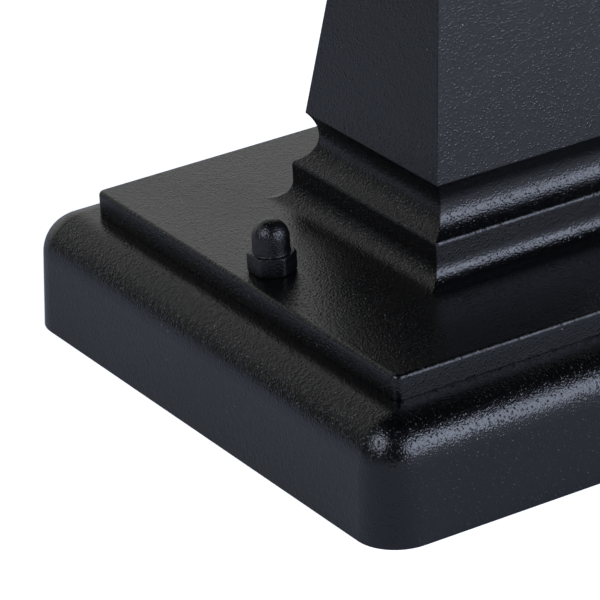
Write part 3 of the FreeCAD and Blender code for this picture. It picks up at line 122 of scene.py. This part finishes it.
noiseSpan = {"From Min": 0.3, "From Max": 0.7}  # nearly all of a noise's values lie between these
cloudSpan = {"From Min": 0.35, "From Max": 0.65}  # narrower, so that both colours of a cloud are reached
bevelSamples = 4

# Black polyester powder coat, sprayed dry and baked. It gives the eye a deep black skin that rounds every edge, a
# faint orange peel, fine sand that sparkles beside a highlight, and here and there a nib of dust in the film: its
# bump is relief, its pale grey is a painted glint.
# The sand is drawn coarser than the real powder's, or it wouldn't show in the picture.
powderCoat = {
    "colour": "#020203",
    # the nibs' pale grey is a painted glint, bright under any lamp
    "nibGlint": "#7C8188",
    "ior": 1.5,
    "roughness": (0.24, 0.30),
    "patchMm": 22,  # of slightly duller film
    "peelMm": 1.3, "peelDepth": 0.06,
    "grainMm": 0.45, "grainDepth": 0.085,
    "sandMm": 0.75, "sandDepth": 0.066, "sandReach": 0.42,  # reach as a share of the cell
    "skinMm": 0.45,  # how far the film rounds an edge
    "nibEveryMm": 4.6, "nibMm": 0.32, "nibDepth": 0.03, "nibEdge": (0.6, 1.3),
}


def makePowderCoat(name, look):
    material, tree, shader, place = newMaterial(name, {"IOR": look["ior"]})
    patch = addNode(tree, "TexNoise", {"Scale": perMm(look["patchMm"]), "Detail": 2.0}, {"Vector": place})
    low, high = look["roughness"]
    rough = addNode(tree, "MapRange", {**noiseSpan, "To Min": low, "To Max": high}, {"Value": patch.outputs[0]})
    tree.links.new(rough.outputs[0], shader.inputs["Roughness"])
    cell = addNode(tree, "TexVoronoi", {"Scale": perMm(look["nibEveryMm"])}, {"Vector": place})
    reach = look["nibMm"] / look["nibEveryMm"] / 2
    inner, outer = look["nibEdge"]
    nibGlint = addNode(tree, "MapRange", {"From Min": reach * inner, "From Max": reach * outer, "To Min": 1.0,
                                     "To Max": 0.0}, {"Value": cell.outputs["Distance"]})
    # the pale grey mixed in on the nibs is a painted glint; their bump below is the real relief
    colour = addNode(tree, "Mix", {"data_type": "RGBA", 6: linear(look["colour"]), 7: linear(look["nibGlint"])},
                     {0: nibGlint.outputs[0]})
    tree.links.new(colour.outputs[2], shader.inputs["Base Color"])
    edge = addNode(tree, "Bevel", {"samples": bevelSamples, "Radius": mm(look["skinMm"])})
    peel = addNode(tree, "TexNoise", {"Scale": perMm(look["peelMm"]), "Detail": 1.0}, {"Vector": place})
    wave = addNode(tree, "Bump", {"Distance": mm(look["peelDepth"])},
                   {"Height": peel.outputs[0], "Normal": edge.outputs[0]})
    grain = addNode(tree, "TexNoise", {"Scale": perMm(look["grainMm"]), "Detail": 1.0}, {"Vector": place})
    rub = addNode(tree, "Bump", {"Distance": mm(look["grainDepth"])},
                  {"Height": grain.outputs[0], "Normal": wave.outputs[0]})
    speck = addNode(tree, "TexVoronoi", {"Scale": perMm(look["sandMm"])}, {"Vector": place})
    heap = addNode(tree, "MapRange", {"interpolation_type": "SMOOTHSTEP", "From Min": 0.0,
                                      "From Max": look["sandReach"], "To Min": 1.0, "To Max": 0.0},
                   {"Value": speck.outputs["Distance"]})
    sand = addNode(tree, "Bump", {"Distance": mm(look["sandDepth"])},
                   {"Height": heap.outputs[0], "Normal": rub.outputs[0]})
    dust = addNode(tree, "Bump", {"Distance": mm(look["nibDepth"])},
                   {"Height": nibGlint.outputs[0], "Normal": sand.outputs[0]})
    tree.links.new(dust.outputs[0], shader.inputs["Normal"])
    return material


# One maker for the surfaces that are a cloud of two close colours with a fine relief: it takes what is different
# from the finish's own dictionary.
def makeFinish(name, look):
    material, tree, shader, place = newMaterial(name, look.get("shader", {}))
    squeeze = addNode(tree, "Mapping", {"Scale": look.get("stretch", (1.0, 1.0, 1.0))}, {"Vector": place})
    cloud = addNode(tree, "TexNoise", {"Scale": perMm(look["cloudMm"]), "Detail": 3.0, "Roughness": 0.6},
                    {"Vector": squeeze.outputs[0]})
    share = addNode(tree, "MapRange", cloudSpan, {"Value": cloud.outputs[0]})
    colour = addNode(tree, "Mix", {"data_type": "RGBA", 6: linear(look["light"]), 7: linear(look["dark"])},
                     {0: share.outputs[0]})
    tree.links.new(colour.outputs[2], shader.inputs["Base Color"])
    smooth, coarse = look["roughness"]
    rough = addNode(tree, "MapRange", {**noiseSpan, "To Min": smooth, "To Max": coarse},
                    {"Value": cloud.outputs[0]})
    tree.links.new(rough.outputs[0], shader.inputs["Roughness"])
    relief = addNode(tree, "TexNoise", {"Scale": perMm(look["reliefMm"]), "Detail": 2.0},
                     {"Vector": squeeze.outputs[0]})
    bump = addNode(tree, "Bump", {"Distance": mm(look["reliefDepth"])}, {"Height": relief.outputs[0]})
    if look.get("edgeMm"):
        edge = addNode(tree, "Bevel", {"samples": bevelSamples, "Radius": mm(look["edgeMm"])})
        tree.links.new(edge.outputs[0], bump.inputs["Normal"])
    tree.links.new(bump.outputs[0], shader.inputs["Normal"])
    return material


# The same powder on the small nuts: a thinner skin at the edges and a drier film, so their highlights break up.
nutCoat = {**powderCoat, "peelDepth": 0.02, "grainMm": 0.42, "grainDepth": 0.12, "sandMm": 0.5,
           "sandDepth": 0.05, "skinMm": 0.2, "roughness": (0.30, 0.37)}
# Black enamel on the corner strips: thin, half matt, with crisp edges and almost no peel.
stripPaint = {**powderCoat, "colour": "#09090B", "peelDepth": 0.01, "skinMm": 0.15, "roughness": (0.36, 0.44)}
# Electroplated zinc, passivated clear: bright, slightly blue, clouded where the pieces tumbled together.
zincPlate = {"shader": {"Metallic": 1.0}, "light": "#C6C9CC", "dark": "#A2A7AB", "cloudMm": 5,
             "roughness": (0.24, 0.40), "reliefMm": 0.6, "reliefDepth": 0.012, "edgeMm": 0.15}
# The same plate dyed green for the earth screw: the metal's shine with the dye's colour.
greenZinc = {**zincPlate, "light": "#37A055", "dark": "#227A3C"}
# Steel blackened hot in salts and oiled: near black, half matt, with a satin edge.
blackSteel = {"shader": {"Metallic": 0.85}, "light": "#232426", "dark": "#141516", "cloudMm": 4,
              "roughness": (0.32, 0.46), "reliefMm": 0.5, "reliefDepth": 0.012, "edgeMm": 0.12}
# Stainless strip with a fine belt grain running up and down, which stretches the highlight.
brushedStainless = {"shader": {"Metallic": 1.0}, "light": "#CBCAC8", "dark": "#A9A8A5", "cloudMm": 0.5,
                    "roughness": (0.22, 0.36), "reliefMm": 0.35, "reliefDepth": 0.012,
                    "stretch": (1.0, 1.0, 0.07), "edgeMm": 0.1}
# Brass turned on a lathe: warm, with rings round its axis.
turnedBrass = {"shader": {"Metallic": 1.0}, "light": "#DDB763", "dark": "#BE9645", "cloudMm": 0.6,
               "roughness": (0.18, 0.32), "reliefMm": 0.35, "reliefDepth": 0.01, "stretch": (0.08, 0.08, 1.0),
               "edgeMm": 0.1}
# Aluminium drawn to a cup: pale, with soft draw lines up the side.
drawnAluminium = {"shader": {"Metallic": 1.0}, "light": "#D8D9DA", "dark": "#BFC0C2", "cloudMm": 0.7,
                  "roughness": (0.24, 0.38), "reliefMm": 0.4, "reliefDepth": 0.01, "stretch": (1.0, 1.0, 0.07),
                  "edgeMm": 0.1}
# Nickel plate on the lamp's cap and wires: bright and a little warm.
nickelPlate = {"shader": {"Metallic": 1.0}, "light": "#D2CDC3", "dark": "#B8B2A7", "cloudMm": 3,
               "roughness": (0.12, 0.22), "reliefMm": 0.8, "reliefDepth": 0.008}
# Moulded rubber: matt and grey black, with the mould's fine blasted texture.
mouldedRubber = {"shader": {"IOR": 1.52}, "light": "#1B1B1C", "dark": "#101011", "cloudMm": 9,
                 "roughness": (0.55, 0.72), "reliefMm": 0.4, "reliefDepth": 0.03}
# Soft vinyl drawn over the wire: an even skin with a dull shine.
blackSleeve = {"shader": {"IOR": 1.53}, "light": "#19191A", "dark": "#111112", "cloudMm": 8,
               "roughness": (0.30, 0.42), "reliefMm": 0.9, "reliefDepth": 0.02}
whiteSleeve = {**blackSleeve, "light": "#E8E7E2", "dark": "#D9D7CF"}
greenSleeve = {**blackSleeve, "light": "#21803F", "dark": "#176631"}
# Nylon moulded in one colour: a fine spark texture, half matt.
orangeNylon = {"shader": {"IOR": 1.53}, "light": "#DC7722", "dark": "#BD6018", "cloudMm": 9,
               "roughness": (0.42, 0.56), "reliefMm": 0.45, "reliefDepth": 0.03}
# Porcelain dipped in a clear glaze: off white under a wet, slightly pooled skin.
glazedPorcelain = {"shader": {"IOR": 1.52, "Coat Weight": 0.6, "Coat Roughness": 0.04}, "light": "#EFEDE6",
                   "dark": "#E0DDD3", "cloudMm": 14, "roughness": (0.12, 0.22), "reliefMm": 5,
                   "reliefDepth": 0.08}
# Sheet glass, drawn upwards: clear, faintly green, with long weak ripples that bend what shows through.
drawnGlass = {"shader": {"Transmission Weight": 1.0, "IOR": 1.5}, "light": "#F1F8F5", "dark": "#FFFFFF",
              "cloudMm": 28, "roughness": (0.0, 0.02), "reliefMm": 26, "reliefDepth": 0.05,
              "stretch": (1.0, 1.0, 0.35)}
# Glass blown in a mould: clear and thin, with wider ripples.
blownGlass = {**drawnGlass, "light": "#F8FAF9", "cloudMm": 16, "reliefMm": 15, "stretch": (1.0, 1.0, 0.5)}
# Phosphor set in silicone over the light strips: matt warm yellow, in small lumps.
yellowPhosphor = {"shader": {"IOR": 1.41, "Subsurface Weight": 0.15, "Subsurface Scale": mm(0.5)},
                  "light": "#F4C640", "dark": "#DB9A30", "cloudMm": 0.8, "roughness": (0.4, 0.6),
                  "reliefMm": 0.5, "reliefDepth": 0.05}

finishes = {  # by the slot's name in the CAD
    "powder_coat": makePowderCoat("blackPowderCoat", powderCoat),
    "coated_nut": makePowderCoat("coatedNut", nutCoat),
    "strip_paint": makePowderCoat("paintedStrip", stripPaint),
    "zinc_steel": makeFinish("zincPlate", zincPlate),
    "earth_green": makeFinish("greenZinc", greenZinc),
    "black_steel": makeFinish("blackSteel", blackSteel),
    "stainless": makeFinish("brushedStainless", brushedStainless),
    "brass_part": makeFinish("turnedBrass", turnedBrass),
    "shell_aluminium": makeFinish("drawnAluminium", drawnAluminium),
    "nickel_cap": makeFinish("nickelPlate", nickelPlate),
    "black_rubber": makeFinish("mouldedRubber", mouldedRubber),
    "insulation_black": makeFinish("blackSleeve", blackSleeve),
    "insulation_white": makeFinish("whiteSleeve", whiteSleeve),
    "insulation_green": makeFinish("greenSleeve", greenSleeve),
    "connector_shell": makeFinish("orangeNylon", orangeNylon),
    "porcelain": makeFinish("glazedPorcelain", glazedPorcelain),
    "pane_glass": makeFinish("drawnGlass", drawnGlass),
    "bulb_envelope": makeFinish("blownGlass", blownGlass),
    "filament_coat": makeFinish("yellowPhosphor", yellowPhosphor),
}
print("finishes:", len(finishes))

for part in frame["record"]["subparts"]:
    piece = nodes[part["node"]]
    for slot in piece.material_slots:
        slot.material = finishes[part["material_slot"]]


# small helpers for meshes; the stacks of rings are made in millimetres

def circle(radius, z, count):
    return [Vector((radius * math.cos(2 * math.pi * k / count), radius * math.sin(2 * math.pi * k / count), z))
            for k in range(count)]


def shares(count, first=0):  # first / count and so on up to 1
    return [i / count for i in range(first, count + 1)]


def onAxis(z):
    return Vector((0, 0, z))


def placed(rings, spot, turn=Matrix.Identity(4)):  # from millimetres to metres, turned and then moved to the spot
    matrix = Matrix.Translation([mm(c) for c in spot]) @ turn @ Matrix.Scale(mm(1), 4)
    return [[matrix @ p for p in ring] for ring in rings]


def joined(name, parts, slot, body, sharp):  # skins each part's rings, closes its two ends, all as one piece
    points, faces = [], []
    for rings in parts:
        base, count = len(points), len(rings[0])
        points += [p for ring in rings for p in ring]
        for i in range(len(rings) - 1):
            for k in range(count):
                a, b = base + i * count + k, base + i * count + (k + 1) % count
                faces.append((a, b, b + count, a + count))
        for ring, start in ((rings[0], base), (rings[-1], base + (len(rings) - 1) * count)):
            points.append(sum(ring, Vector()) / count)
            tip = len(points) - 1
            for k in range(count):
                a, b = start + k, start + (k + 1) % count
                faces.append((b, a, tip) if start == base else (a, b, tip))
    mesh = bpy.data.meshes.new(name)
    mesh.from_pydata([tuple(p) for p in points], [], faces)
    mesh.validate()
    mesh.update()
    mesh.shade_smooth()
    mesh.set_sharp_from_angle(angle=math.radians(sharp))
    mesh.materials.append(finishes[slot])
    piece = bpy.data.objects.new(name, mesh)
    scene.collection.objects.link(piece)
    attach(piece, body)
    return piece


# acorn nuts: a turned dome on a hexagon whose corners the coat has softened, with scalloped chamfers
capNut = {
    "flats": 9.85, "hexHeight": 4.5, "domeWidth": 8.35, "height": 12.0,
    "turn": 28.5,  # the way one flat faces, in degrees from +X
    "crispness": 20,  # of the six corners
    "footChamfer": 0.45, "footReach": (5.1, 6.3),  # reach: the cone that cuts the hexagon, as a radius
    "topChamfer": 0.75, "topReach": (6.6, 4.7), "topCurve": 1.4,
    "chamferCrispness": 18,
    "fillet": 0.3, "filletSink": 0.02,
    "places": ((0.0, -52.7), (0.0, 52.7)), "seat": 32.8,
    "around": 96, "sharpAngle": 50,
}


def makeCapNuts():
    half, top, dome = capNut["flats"] / 2, capNut["hexHeight"], capNut["domeWidth"] / 2
    count, power, cut = capNut["around"], capNut["crispness"], capNut["chamferCrispness"]
    turn = math.radians(capNut["turn"])

    def hexRing(z, limit):
        ring = []
        for k in range(count):
            angle = 2 * math.pi * k / count
            total = sum(abs(math.cos(angle - turn - i * math.pi / 3)) ** power for i in range(3))
            reach = half / total ** (1 / power)
            reach = (reach ** -cut + limit ** -cut) ** (-1 / cut)
            ring.append(Vector((reach * math.cos(angle), reach * math.sin(angle), z)))
        return ring

    foot, shoulder, fillet = capNut["footChamfer"], capNut["topChamfer"], capNut["fillet"]
    low, wide = capNut["footReach"]
    full, narrow = capNut["topReach"]
    rings = [hexRing(foot * t, low + (wide - low) * t) for t in shares(4)]
    rings += [hexRing(foot + (top - foot - shoulder) * t, full) for t in shares(7, 1)]
    rings += [hexRing(top - shoulder + shoulder * math.sin(math.pi / 2 * t),
                      full - (full - narrow) * t ** capNut["topCurve"]) for t in shares(9, 1)]
    for t in shares(6):
        angle = math.pi / 2 * t
        rings.append(circle(dome + fillet * (1 - math.sin(angle)),
                            top + fillet * (1 - math.cos(angle)) - capNut["filletSink"], count))
    start = capNut["height"] - dome
    rings += [circle(dome, top + fillet + (start - top - fillet) * t, count) for t in shares(3, 1)]
    for t in shares(19, 1)[:-1]:
        angle = math.pi / 2 * t
        rings.append(circle(dome * math.cos(angle), start + dome * math.sin(angle), count))
    parts = [placed(rings, (x, y, capNut["seat"])) for x, y in capNut["places"]]
    piece = joined("capNutPair", parts, "coated_nut", "lantern", capNut["sharpAngle"])
    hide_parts("cap_nuts")


makeCapNuts()
print("cap nuts made")


# cross recessed screws: a cold formed head, and a rolled thread
screws = {
    "barScrewPair": {"node": "bar_screws", "slot": "zinc_steel", "body": "lantern", "width": 4.0, "head": 4.0,
                     "headHeight": 2.4, "length": 5.7, "pitch": 0.7, "points": "down",
                     "places": ((0, -35, 21.1), (0, 35, 21.1))},
    "groundScrew": {"node": "ground_screw", "slot": "earth_green", "body": "lantern", "width": 4.0, "head": 4.0,
                    "headHeight": 2.4, "length": 2.5, "pitch": 0.7, "points": "down", "places": ((18, 0, 21.1),)},
    "trayScrewSet": {"node": "tray_screws", "slot": "black_steel", "body": "lantern", "width": 3.0, "head": 2.7,
                     "headHeight": 2.1, "length": 16.5, "pitch": 0.5, "points": "down",
                     "places": ((-49, -49, 160.6), (49, -49, 160.6), (-49, 49, 160.6), (49, 49, 160.6))},
    "bridgeScrewPair": {"node": "bridge_screws", "slot": "black_steel", "body": "lantern", "width": 3.0,
                        "head": 2.7, "headHeight": 2.0, "length": 9.0, "pitch": 0.5, "points": "up",
                        "places": ((-47.5, -47.5, 303.6), (47.5, 47.5, 303.6))},
    "knobScrew": {"node": "knob_screw", "slot": "stainless", "body": "door", "width": 3.0, "head": 2.7,
                  "headHeight": 2.1, "length": 9.5, "pitch": 0.5, "points": "back",
                  "places": ((40.5, -48, 236.1),)},
}
screwShape = {
    "around": 40, "sharpAngle": 40, "ringsPerTurn": 6, "threadDepth": 0.5,  # depth as a share of the pitch
    # shares of the head's radius
    "seat": 0.97, "crown": 0.7, "slotHalf": 0.13, "slotWall": 0.05, "slotReach": 0.56, "slotSlope": 0.2,
    # shares of the head's height
    "edgeLow": 0.08, "edgeHigh": 0.42, "bend": 0.5, "rise": 0.08, "slotDepth": 0.5,
    "twist": 0.4, "twistMore": 1.1,  # how each screw of a set came to rest, in radians
}


def screwRings(look):  # from the tip up to the head's middle, the head over the height 0
    shape = screwShape
    count, major = shape["around"], look["width"] / 2
    depth = look["pitch"] * shape["threadDepth"]
    rings = [circle(major - depth, -look["length"], count)]
    fadeOver = shape["ringsPerTurn"]
    steps = int(look["length"] / look["pitch"] * fadeOver)
    for i in range(1, steps):
        z = -look["length"] + look["length"] * i / steps
        fade = min(1.0, i / fadeOver, (steps - i) / fadeOver)
        ring = []
        for k in range(count):
            turn = k / count
            phase = (z / look["pitch"] - turn) % 1.0
            reach = major - depth * fade * (1 - abs(2 * phase - 1)) - depth * (1 - fade) * (i < steps / 2)
            ring.append(Vector((reach * math.cos(2 * math.pi * turn), reach * math.sin(2 * math.pi * turn), z)))
        rings.append(ring)
    rings.append(circle(major, 0, count))
    head, tall = look["head"], look["headHeight"]
    crown, high, bend = shape["crown"], shape["edgeHigh"], shape["bend"]
    rings += [circle(head * shape["seat"], 0, count), circle(head, tall * shape["edgeLow"], count),
              circle(head, tall * high, count)]
    for t in shares(5, 1):
        angle = math.pi / 2 * t
        rings.append(circle(head - head * (1 - crown) * (1 - math.cos(angle)),
                            tall * high + tall * bend * math.sin(angle), count))
    for t in shares(22, 1)[:-1]:
        reach = head * crown * (1 - t)
        ring = []
        for k in range(count):
            angle = 2 * math.pi * k / count
            x, y = reach * math.cos(angle), reach * math.sin(angle)
            narrow, far = min(abs(x), abs(y)), max(abs(x), abs(y))
            wall = min(1.0, max(0.0, (head * shape["slotHalf"] - narrow) / (head * shape["slotWall"])),
                       max(0.0, (head * shape["slotReach"] - far) / (head * shape["slotSlope"])))
            z = tall * (high + bend + shape["rise"] * (1 - (reach / head / crown) ** 2))
            ring.append(Vector((x, y, z - wall * tall * shape["slotDepth"])))
        rings.append(ring)
    return rings


def makeScrews():
    ways = {"up": Matrix.Identity(4), "down": Matrix.Rotation(math.pi, 4, "X"),
            "back": Matrix.Rotation(-math.pi / 2, 4, "X")}
    for name, look in screws.items():
        rings = screwRings(look)
        parts = []
        for i, spot in enumerate(look["places"]):
            twist = Matrix.Rotation(screwShape["twist"] + screwShape["twistMore"] * i, 4, "Z")
            parts.append(placed(rings, spot, ways[look["points"]] @ twist))
        piece = joined(name, parts, look["slot"], look["body"], screwShape["sharpAngle"])
        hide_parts(look["node"])


makeScrews()
print("screws made:", len(screws))


# lamp's inside: a pressed glass foot, nickel wires and four light strips
lampInside = {
    "foot": 182.8,
    "footRings": ((0.4, 6.2), (1.2, 6.0), (3.0, 4.6), (5.5, 3.8), (9.0, 3.1), (13.0, 2.7), (15.5, 2.7),
                  (17.4, 2.2), (18.6, 1.2)),  # height and radius
    "strips": 4, "stripRadius": 0.8, "stripRing": 6.2, "stripLow": 20.0, "stripHigh": 47.6,
    "stripEnd": ((0.8, 0.5), (0.95, 0.85), (1.3, 1.0)),  # way in from an end, share of the radius
    "wireRadius": 0.22, "wireFoot": 17.0, "wireFootRing": 1.2, "wireKnee": 18.0, "kneeInset": 0.4,
    "wireGrip": 1.0,  # how far a wire runs into its strip
    "mastRadius": 0.3, "mastFoot": 17.5, "mastMiddle": 30, "mastRise": 1.6,
    "footAround": 48, "stripAround": 20, "wireAround": 10, "bendSteps": 8,
    "footSharp": 60, "stripSharp": 50, "wireSharp": 60,  # angles over which an edge stays sharp
}


def wirePath(points, radius):  # rings of a thin wire along a line of points
    rings, count = [], lampInside["wireAround"]
    for i, p in enumerate(points):
        ahead = (points[min(i + 1, len(points) - 1)] - points[max(i - 1, 0)]).normalized()
        side = ahead.orthogonal().normalized() if not rings else (side - ahead * side.dot(ahead)).normalized()
        other = ahead.cross(side)
        rings.append([p + radius * (math.cos(2 * math.pi * k / count) * side
                                    + math.sin(2 * math.pi * k / count) * other) for k in range(count)])
    return rings


def bendBetween(a, b, c):
    return [a.lerp(b, t).lerp(b.lerp(c, t), t) for t in shares(lampInside["bendSteps"])]


def makeLampInside():
    look = lampInside
    spot = (0, 0, look["foot"])
    foot = placed([circle(r, z, look["footAround"]) for z, r in look["footRings"]], spot)
    joined("lampFoot", [foot], "bulb_envelope", "lantern", look["footSharp"])
    strips, wires = [], []
    low, high, ring, r = look["stripLow"], look["stripHigh"], look["stripRing"], look["stripRadius"]
    body = [(low + inward, r * share) for inward, share in look["stripEnd"]]
    body += [(high - inward, r * share) for inward, share in reversed(look["stripEnd"])]
    grip, knee, thin = look["wireGrip"], ring - look["kneeInset"], look["wireRadius"]
    crownTop = onAxis(high + look["mastRise"])
    for i in range(look["strips"]):
        angle = math.pi / 4 + math.pi / 2 * i
        out = Vector((math.cos(angle), math.sin(angle), 0))
        strips.append(placed([[p + out * ring for p in circle(wide, z, look["stripAround"])] for z, wide in body],
                             spot))
        bend = bendBetween(onAxis(look["wireFoot"]) + out * look["wireFootRing"],
                           onAxis(look["wireKnee"]) + out * knee, onAxis(low + grip) + out * ring)
        wires.append(placed(wirePath(bend, thin), spot))
        bend = bendBetween(onAxis(high - grip) + out * ring, crownTop + out * knee, crownTop)
        wires.append(placed(wirePath(bend, thin), spot))
    mast = [onAxis(look["mastFoot"]), onAxis(look["mastMiddle"]), crownTop]
    wires.append(placed(wirePath(mast, look["mastRadius"]), spot))
    piece = joined("lightStrips", strips, "filament_coat", "lantern", look["stripSharp"])
    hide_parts("bulb_stem")
    joined("lampWires", wires, "nickel_cap", "lantern", look["wireSharp"])


makeLampInside()
print("lamp's inside made")


# floor, backdrop and lights
studio = {
    "floor": "#CBD2DF", "floorCloud": "#CED4E0", "fibreMm": 30, "floorRoughness": 0.9, "floorHalf": 30,
    "floorLift": 0.84,  # white that the camera sees on top of the floor's own light
    "paintedFloorShine": (0.12, 0.5),  # share of it in reflections, beside the cap and further to the right: painted shade beside the cap and a painted pool of light to the right
    "shineFrom": 0.14, "shineTo": 0.23,  # where it grows, in metres along X
    "backdropAzimuth": -121.0,
    "backdropSide": (0.35, 0.6),  # cosine of the angle from its middle, where it starts and where it is full
    "backdropTop": (0.5, 0.72),  # sine of the height where it starts to fade and where it ends
    "backdropStrength": 0.80,
    "roomStrength": 0.008,
    "lampAim": 0.05,  # height of the point that the lamps face
}
lamps = {
    "leftSoftbox": {"azimuth": 3.0, "elevation": 37.0, "distance": 1.25, "width": 0.72, "height": 0.52,
                    "strength": 7.0, "colour": "#E4ECFF"},
    "rightSoftbox": {"azimuth": 113.0, "elevation": 23.5, "distance": 1.25, "width": 0.95, "height": 0.62,
                     "strength": 7.2, "colour": "#DCE6FF"},
}


# Pale studio paper: matt, with a faint cloud of fibres. The camera sees it lifted to white; reflections see a share
# of that lift as painted light, dim beside the cap and brighter to the right along X.
def makeFloor():
    material, tree, shader, place = newMaterial("paperFloor", {"Roughness": studio["floorRoughness"]})
    fibre = addNode(tree, "TexNoise", {"Scale": perMm(studio["fibreMm"]), "Detail": 3.0}, {"Vector": place})
    colour = addNode(tree, "Mix", {"data_type": "RGBA", 6: linear(studio["floor"]),
                                   7: linear(studio["floorCloud"])}, {0: fibre.outputs[0]})
    tree.links.new(colour.outputs[2], shader.inputs["Base Color"])
    ray = addNode(tree, "LightPath", {})
    seen = addNode(tree, "Math", {"operation": "MAXIMUM"},
                   {0: ray.outputs["Is Camera Ray"], 1: ray.outputs["Is Transmission Ray"]})
    # the lift that reflections see is painted light: low beside the cap, growing towards +X where the right softbox
    # would light the floor
    near, far = studio["paintedFloorShine"]
    along = addNode(tree, "SeparateXYZ", {}, {0: place}).outputs["X"]
    paintedShine = addNode(tree, "MapRange", {"From Min": studio["shineFrom"], "From Max": studio["shineTo"],
                                       "To Min": near, "To Max": far}, {"Value": along})
    glossy = addNode(tree, "Math", {"operation": "MULTIPLY_ADD"},
                     {0: ray.outputs["Is Glossy Ray"], 1: paintedShine.outputs[0], 2: seen.outputs[0]})
    lift = addNode(tree, "Math", {"operation": "MULTIPLY", 1: studio["floorLift"]}, {0: glossy.outputs[0]})
    shader.inputs["Emission Color"].default_value = (1, 1, 1, 1)
    tree.links.new(lift.outputs[0], shader.inputs["Emission Strength"])
    half = studio["floorHalf"]
    mesh = bpy.data.meshes.new("floor")
    mesh.from_pydata([(-half, -half, 0), (half, -half, 0), (half, half, 0), (-half, half, 0)], [], [(0, 1, 2, 3)])
    mesh.materials.append(material)
    floor = bpy.data.objects.new("floor", mesh)
    scene.collection.objects.link(floor)


# A dark room with a white backdrop on one side, which only reflections see: the camera sees plain white.
def makeWorld():
    world = bpy.data.worlds.new("studioRoom")
    scene.world = world
    world.use_nodes = True
    tree = world.node_tree
    tree.nodes.clear()
    way = addNode(tree, "TexCoord", {}).outputs["Generated"]
    toward = addNode(tree, "VectorMath", {"operation": "DOT_PRODUCT", 1: wayTo(studio["backdropAzimuth"], 0)},
                     {0: way})
    start, full = studio["backdropSide"]
    across = addNode(tree, "MapRange", {"From Min": start, "From Max": full}, {"Value": toward.outputs["Value"]})
    height = addNode(tree, "SeparateXYZ", {}, {0: way}).outputs["Z"]
    fade, end = studio["backdropTop"]
    below = addNode(tree, "MapRange", {"From Min": fade, "From Max": end, "To Min": 1.0, "To Max": 0.0},
                    {"Value": height})
    card = addNode(tree, "Math", {"operation": "MULTIPLY"}, {0: across.outputs[0], 1: below.outputs[0]})
    ray = addNode(tree, "LightPath", {})
    glossy = addNode(tree, "Math", {"operation": "MULTIPLY"}, {0: card.outputs[0], 1: ray.outputs["Is Glossy Ray"]})
    room = addNode(tree, "MapRange", {"To Min": studio["roomStrength"], "To Max": studio["backdropStrength"]},
                   {"Value": glossy.outputs[0]})
    seen = addNode(tree, "Math", {"operation": "MAXIMUM"},
                   {0: ray.outputs["Is Camera Ray"], 1: ray.outputs["Is Transmission Ray"]})
    white = addNode(tree, "Math", {"operation": "MAXIMUM"}, {0: seen.outputs[0], 1: room.outputs[0]})
    back = addNode(tree, "Background", {"Color": (1, 1, 1, 1)}, {"Strength": white.outputs[0]})
    addNode(tree, "OutputWorld", {}, {"Surface": back.outputs[0]})


def makeLamps():
    for name, look in lamps.items():
        out = wayTo(look["azimuth"], look["elevation"])
        data = bpy.data.lights.new(name, "AREA")
        data.shape = "RECTANGLE"
        data.size, data.size_y = look["width"], look["height"]
        data.energy = look["strength"] * math.pi * look["width"] * look["height"]
        data.color = linear(look["colour"])[:3]
        lamp = bpy.data.objects.new(name, data)
        scene.collection.objects.link(lamp)
        lamp.location = onAxis(studio["lampAim"]) + out * look["distance"]
        lamp.rotation_mode = "QUATERNION"
        lamp.rotation_quaternion = out.to_track_quat("Z", "Y")
        lamp.visible_camera = False


makeFloor()
makeWorld()
makeLamps()
print("studio set")
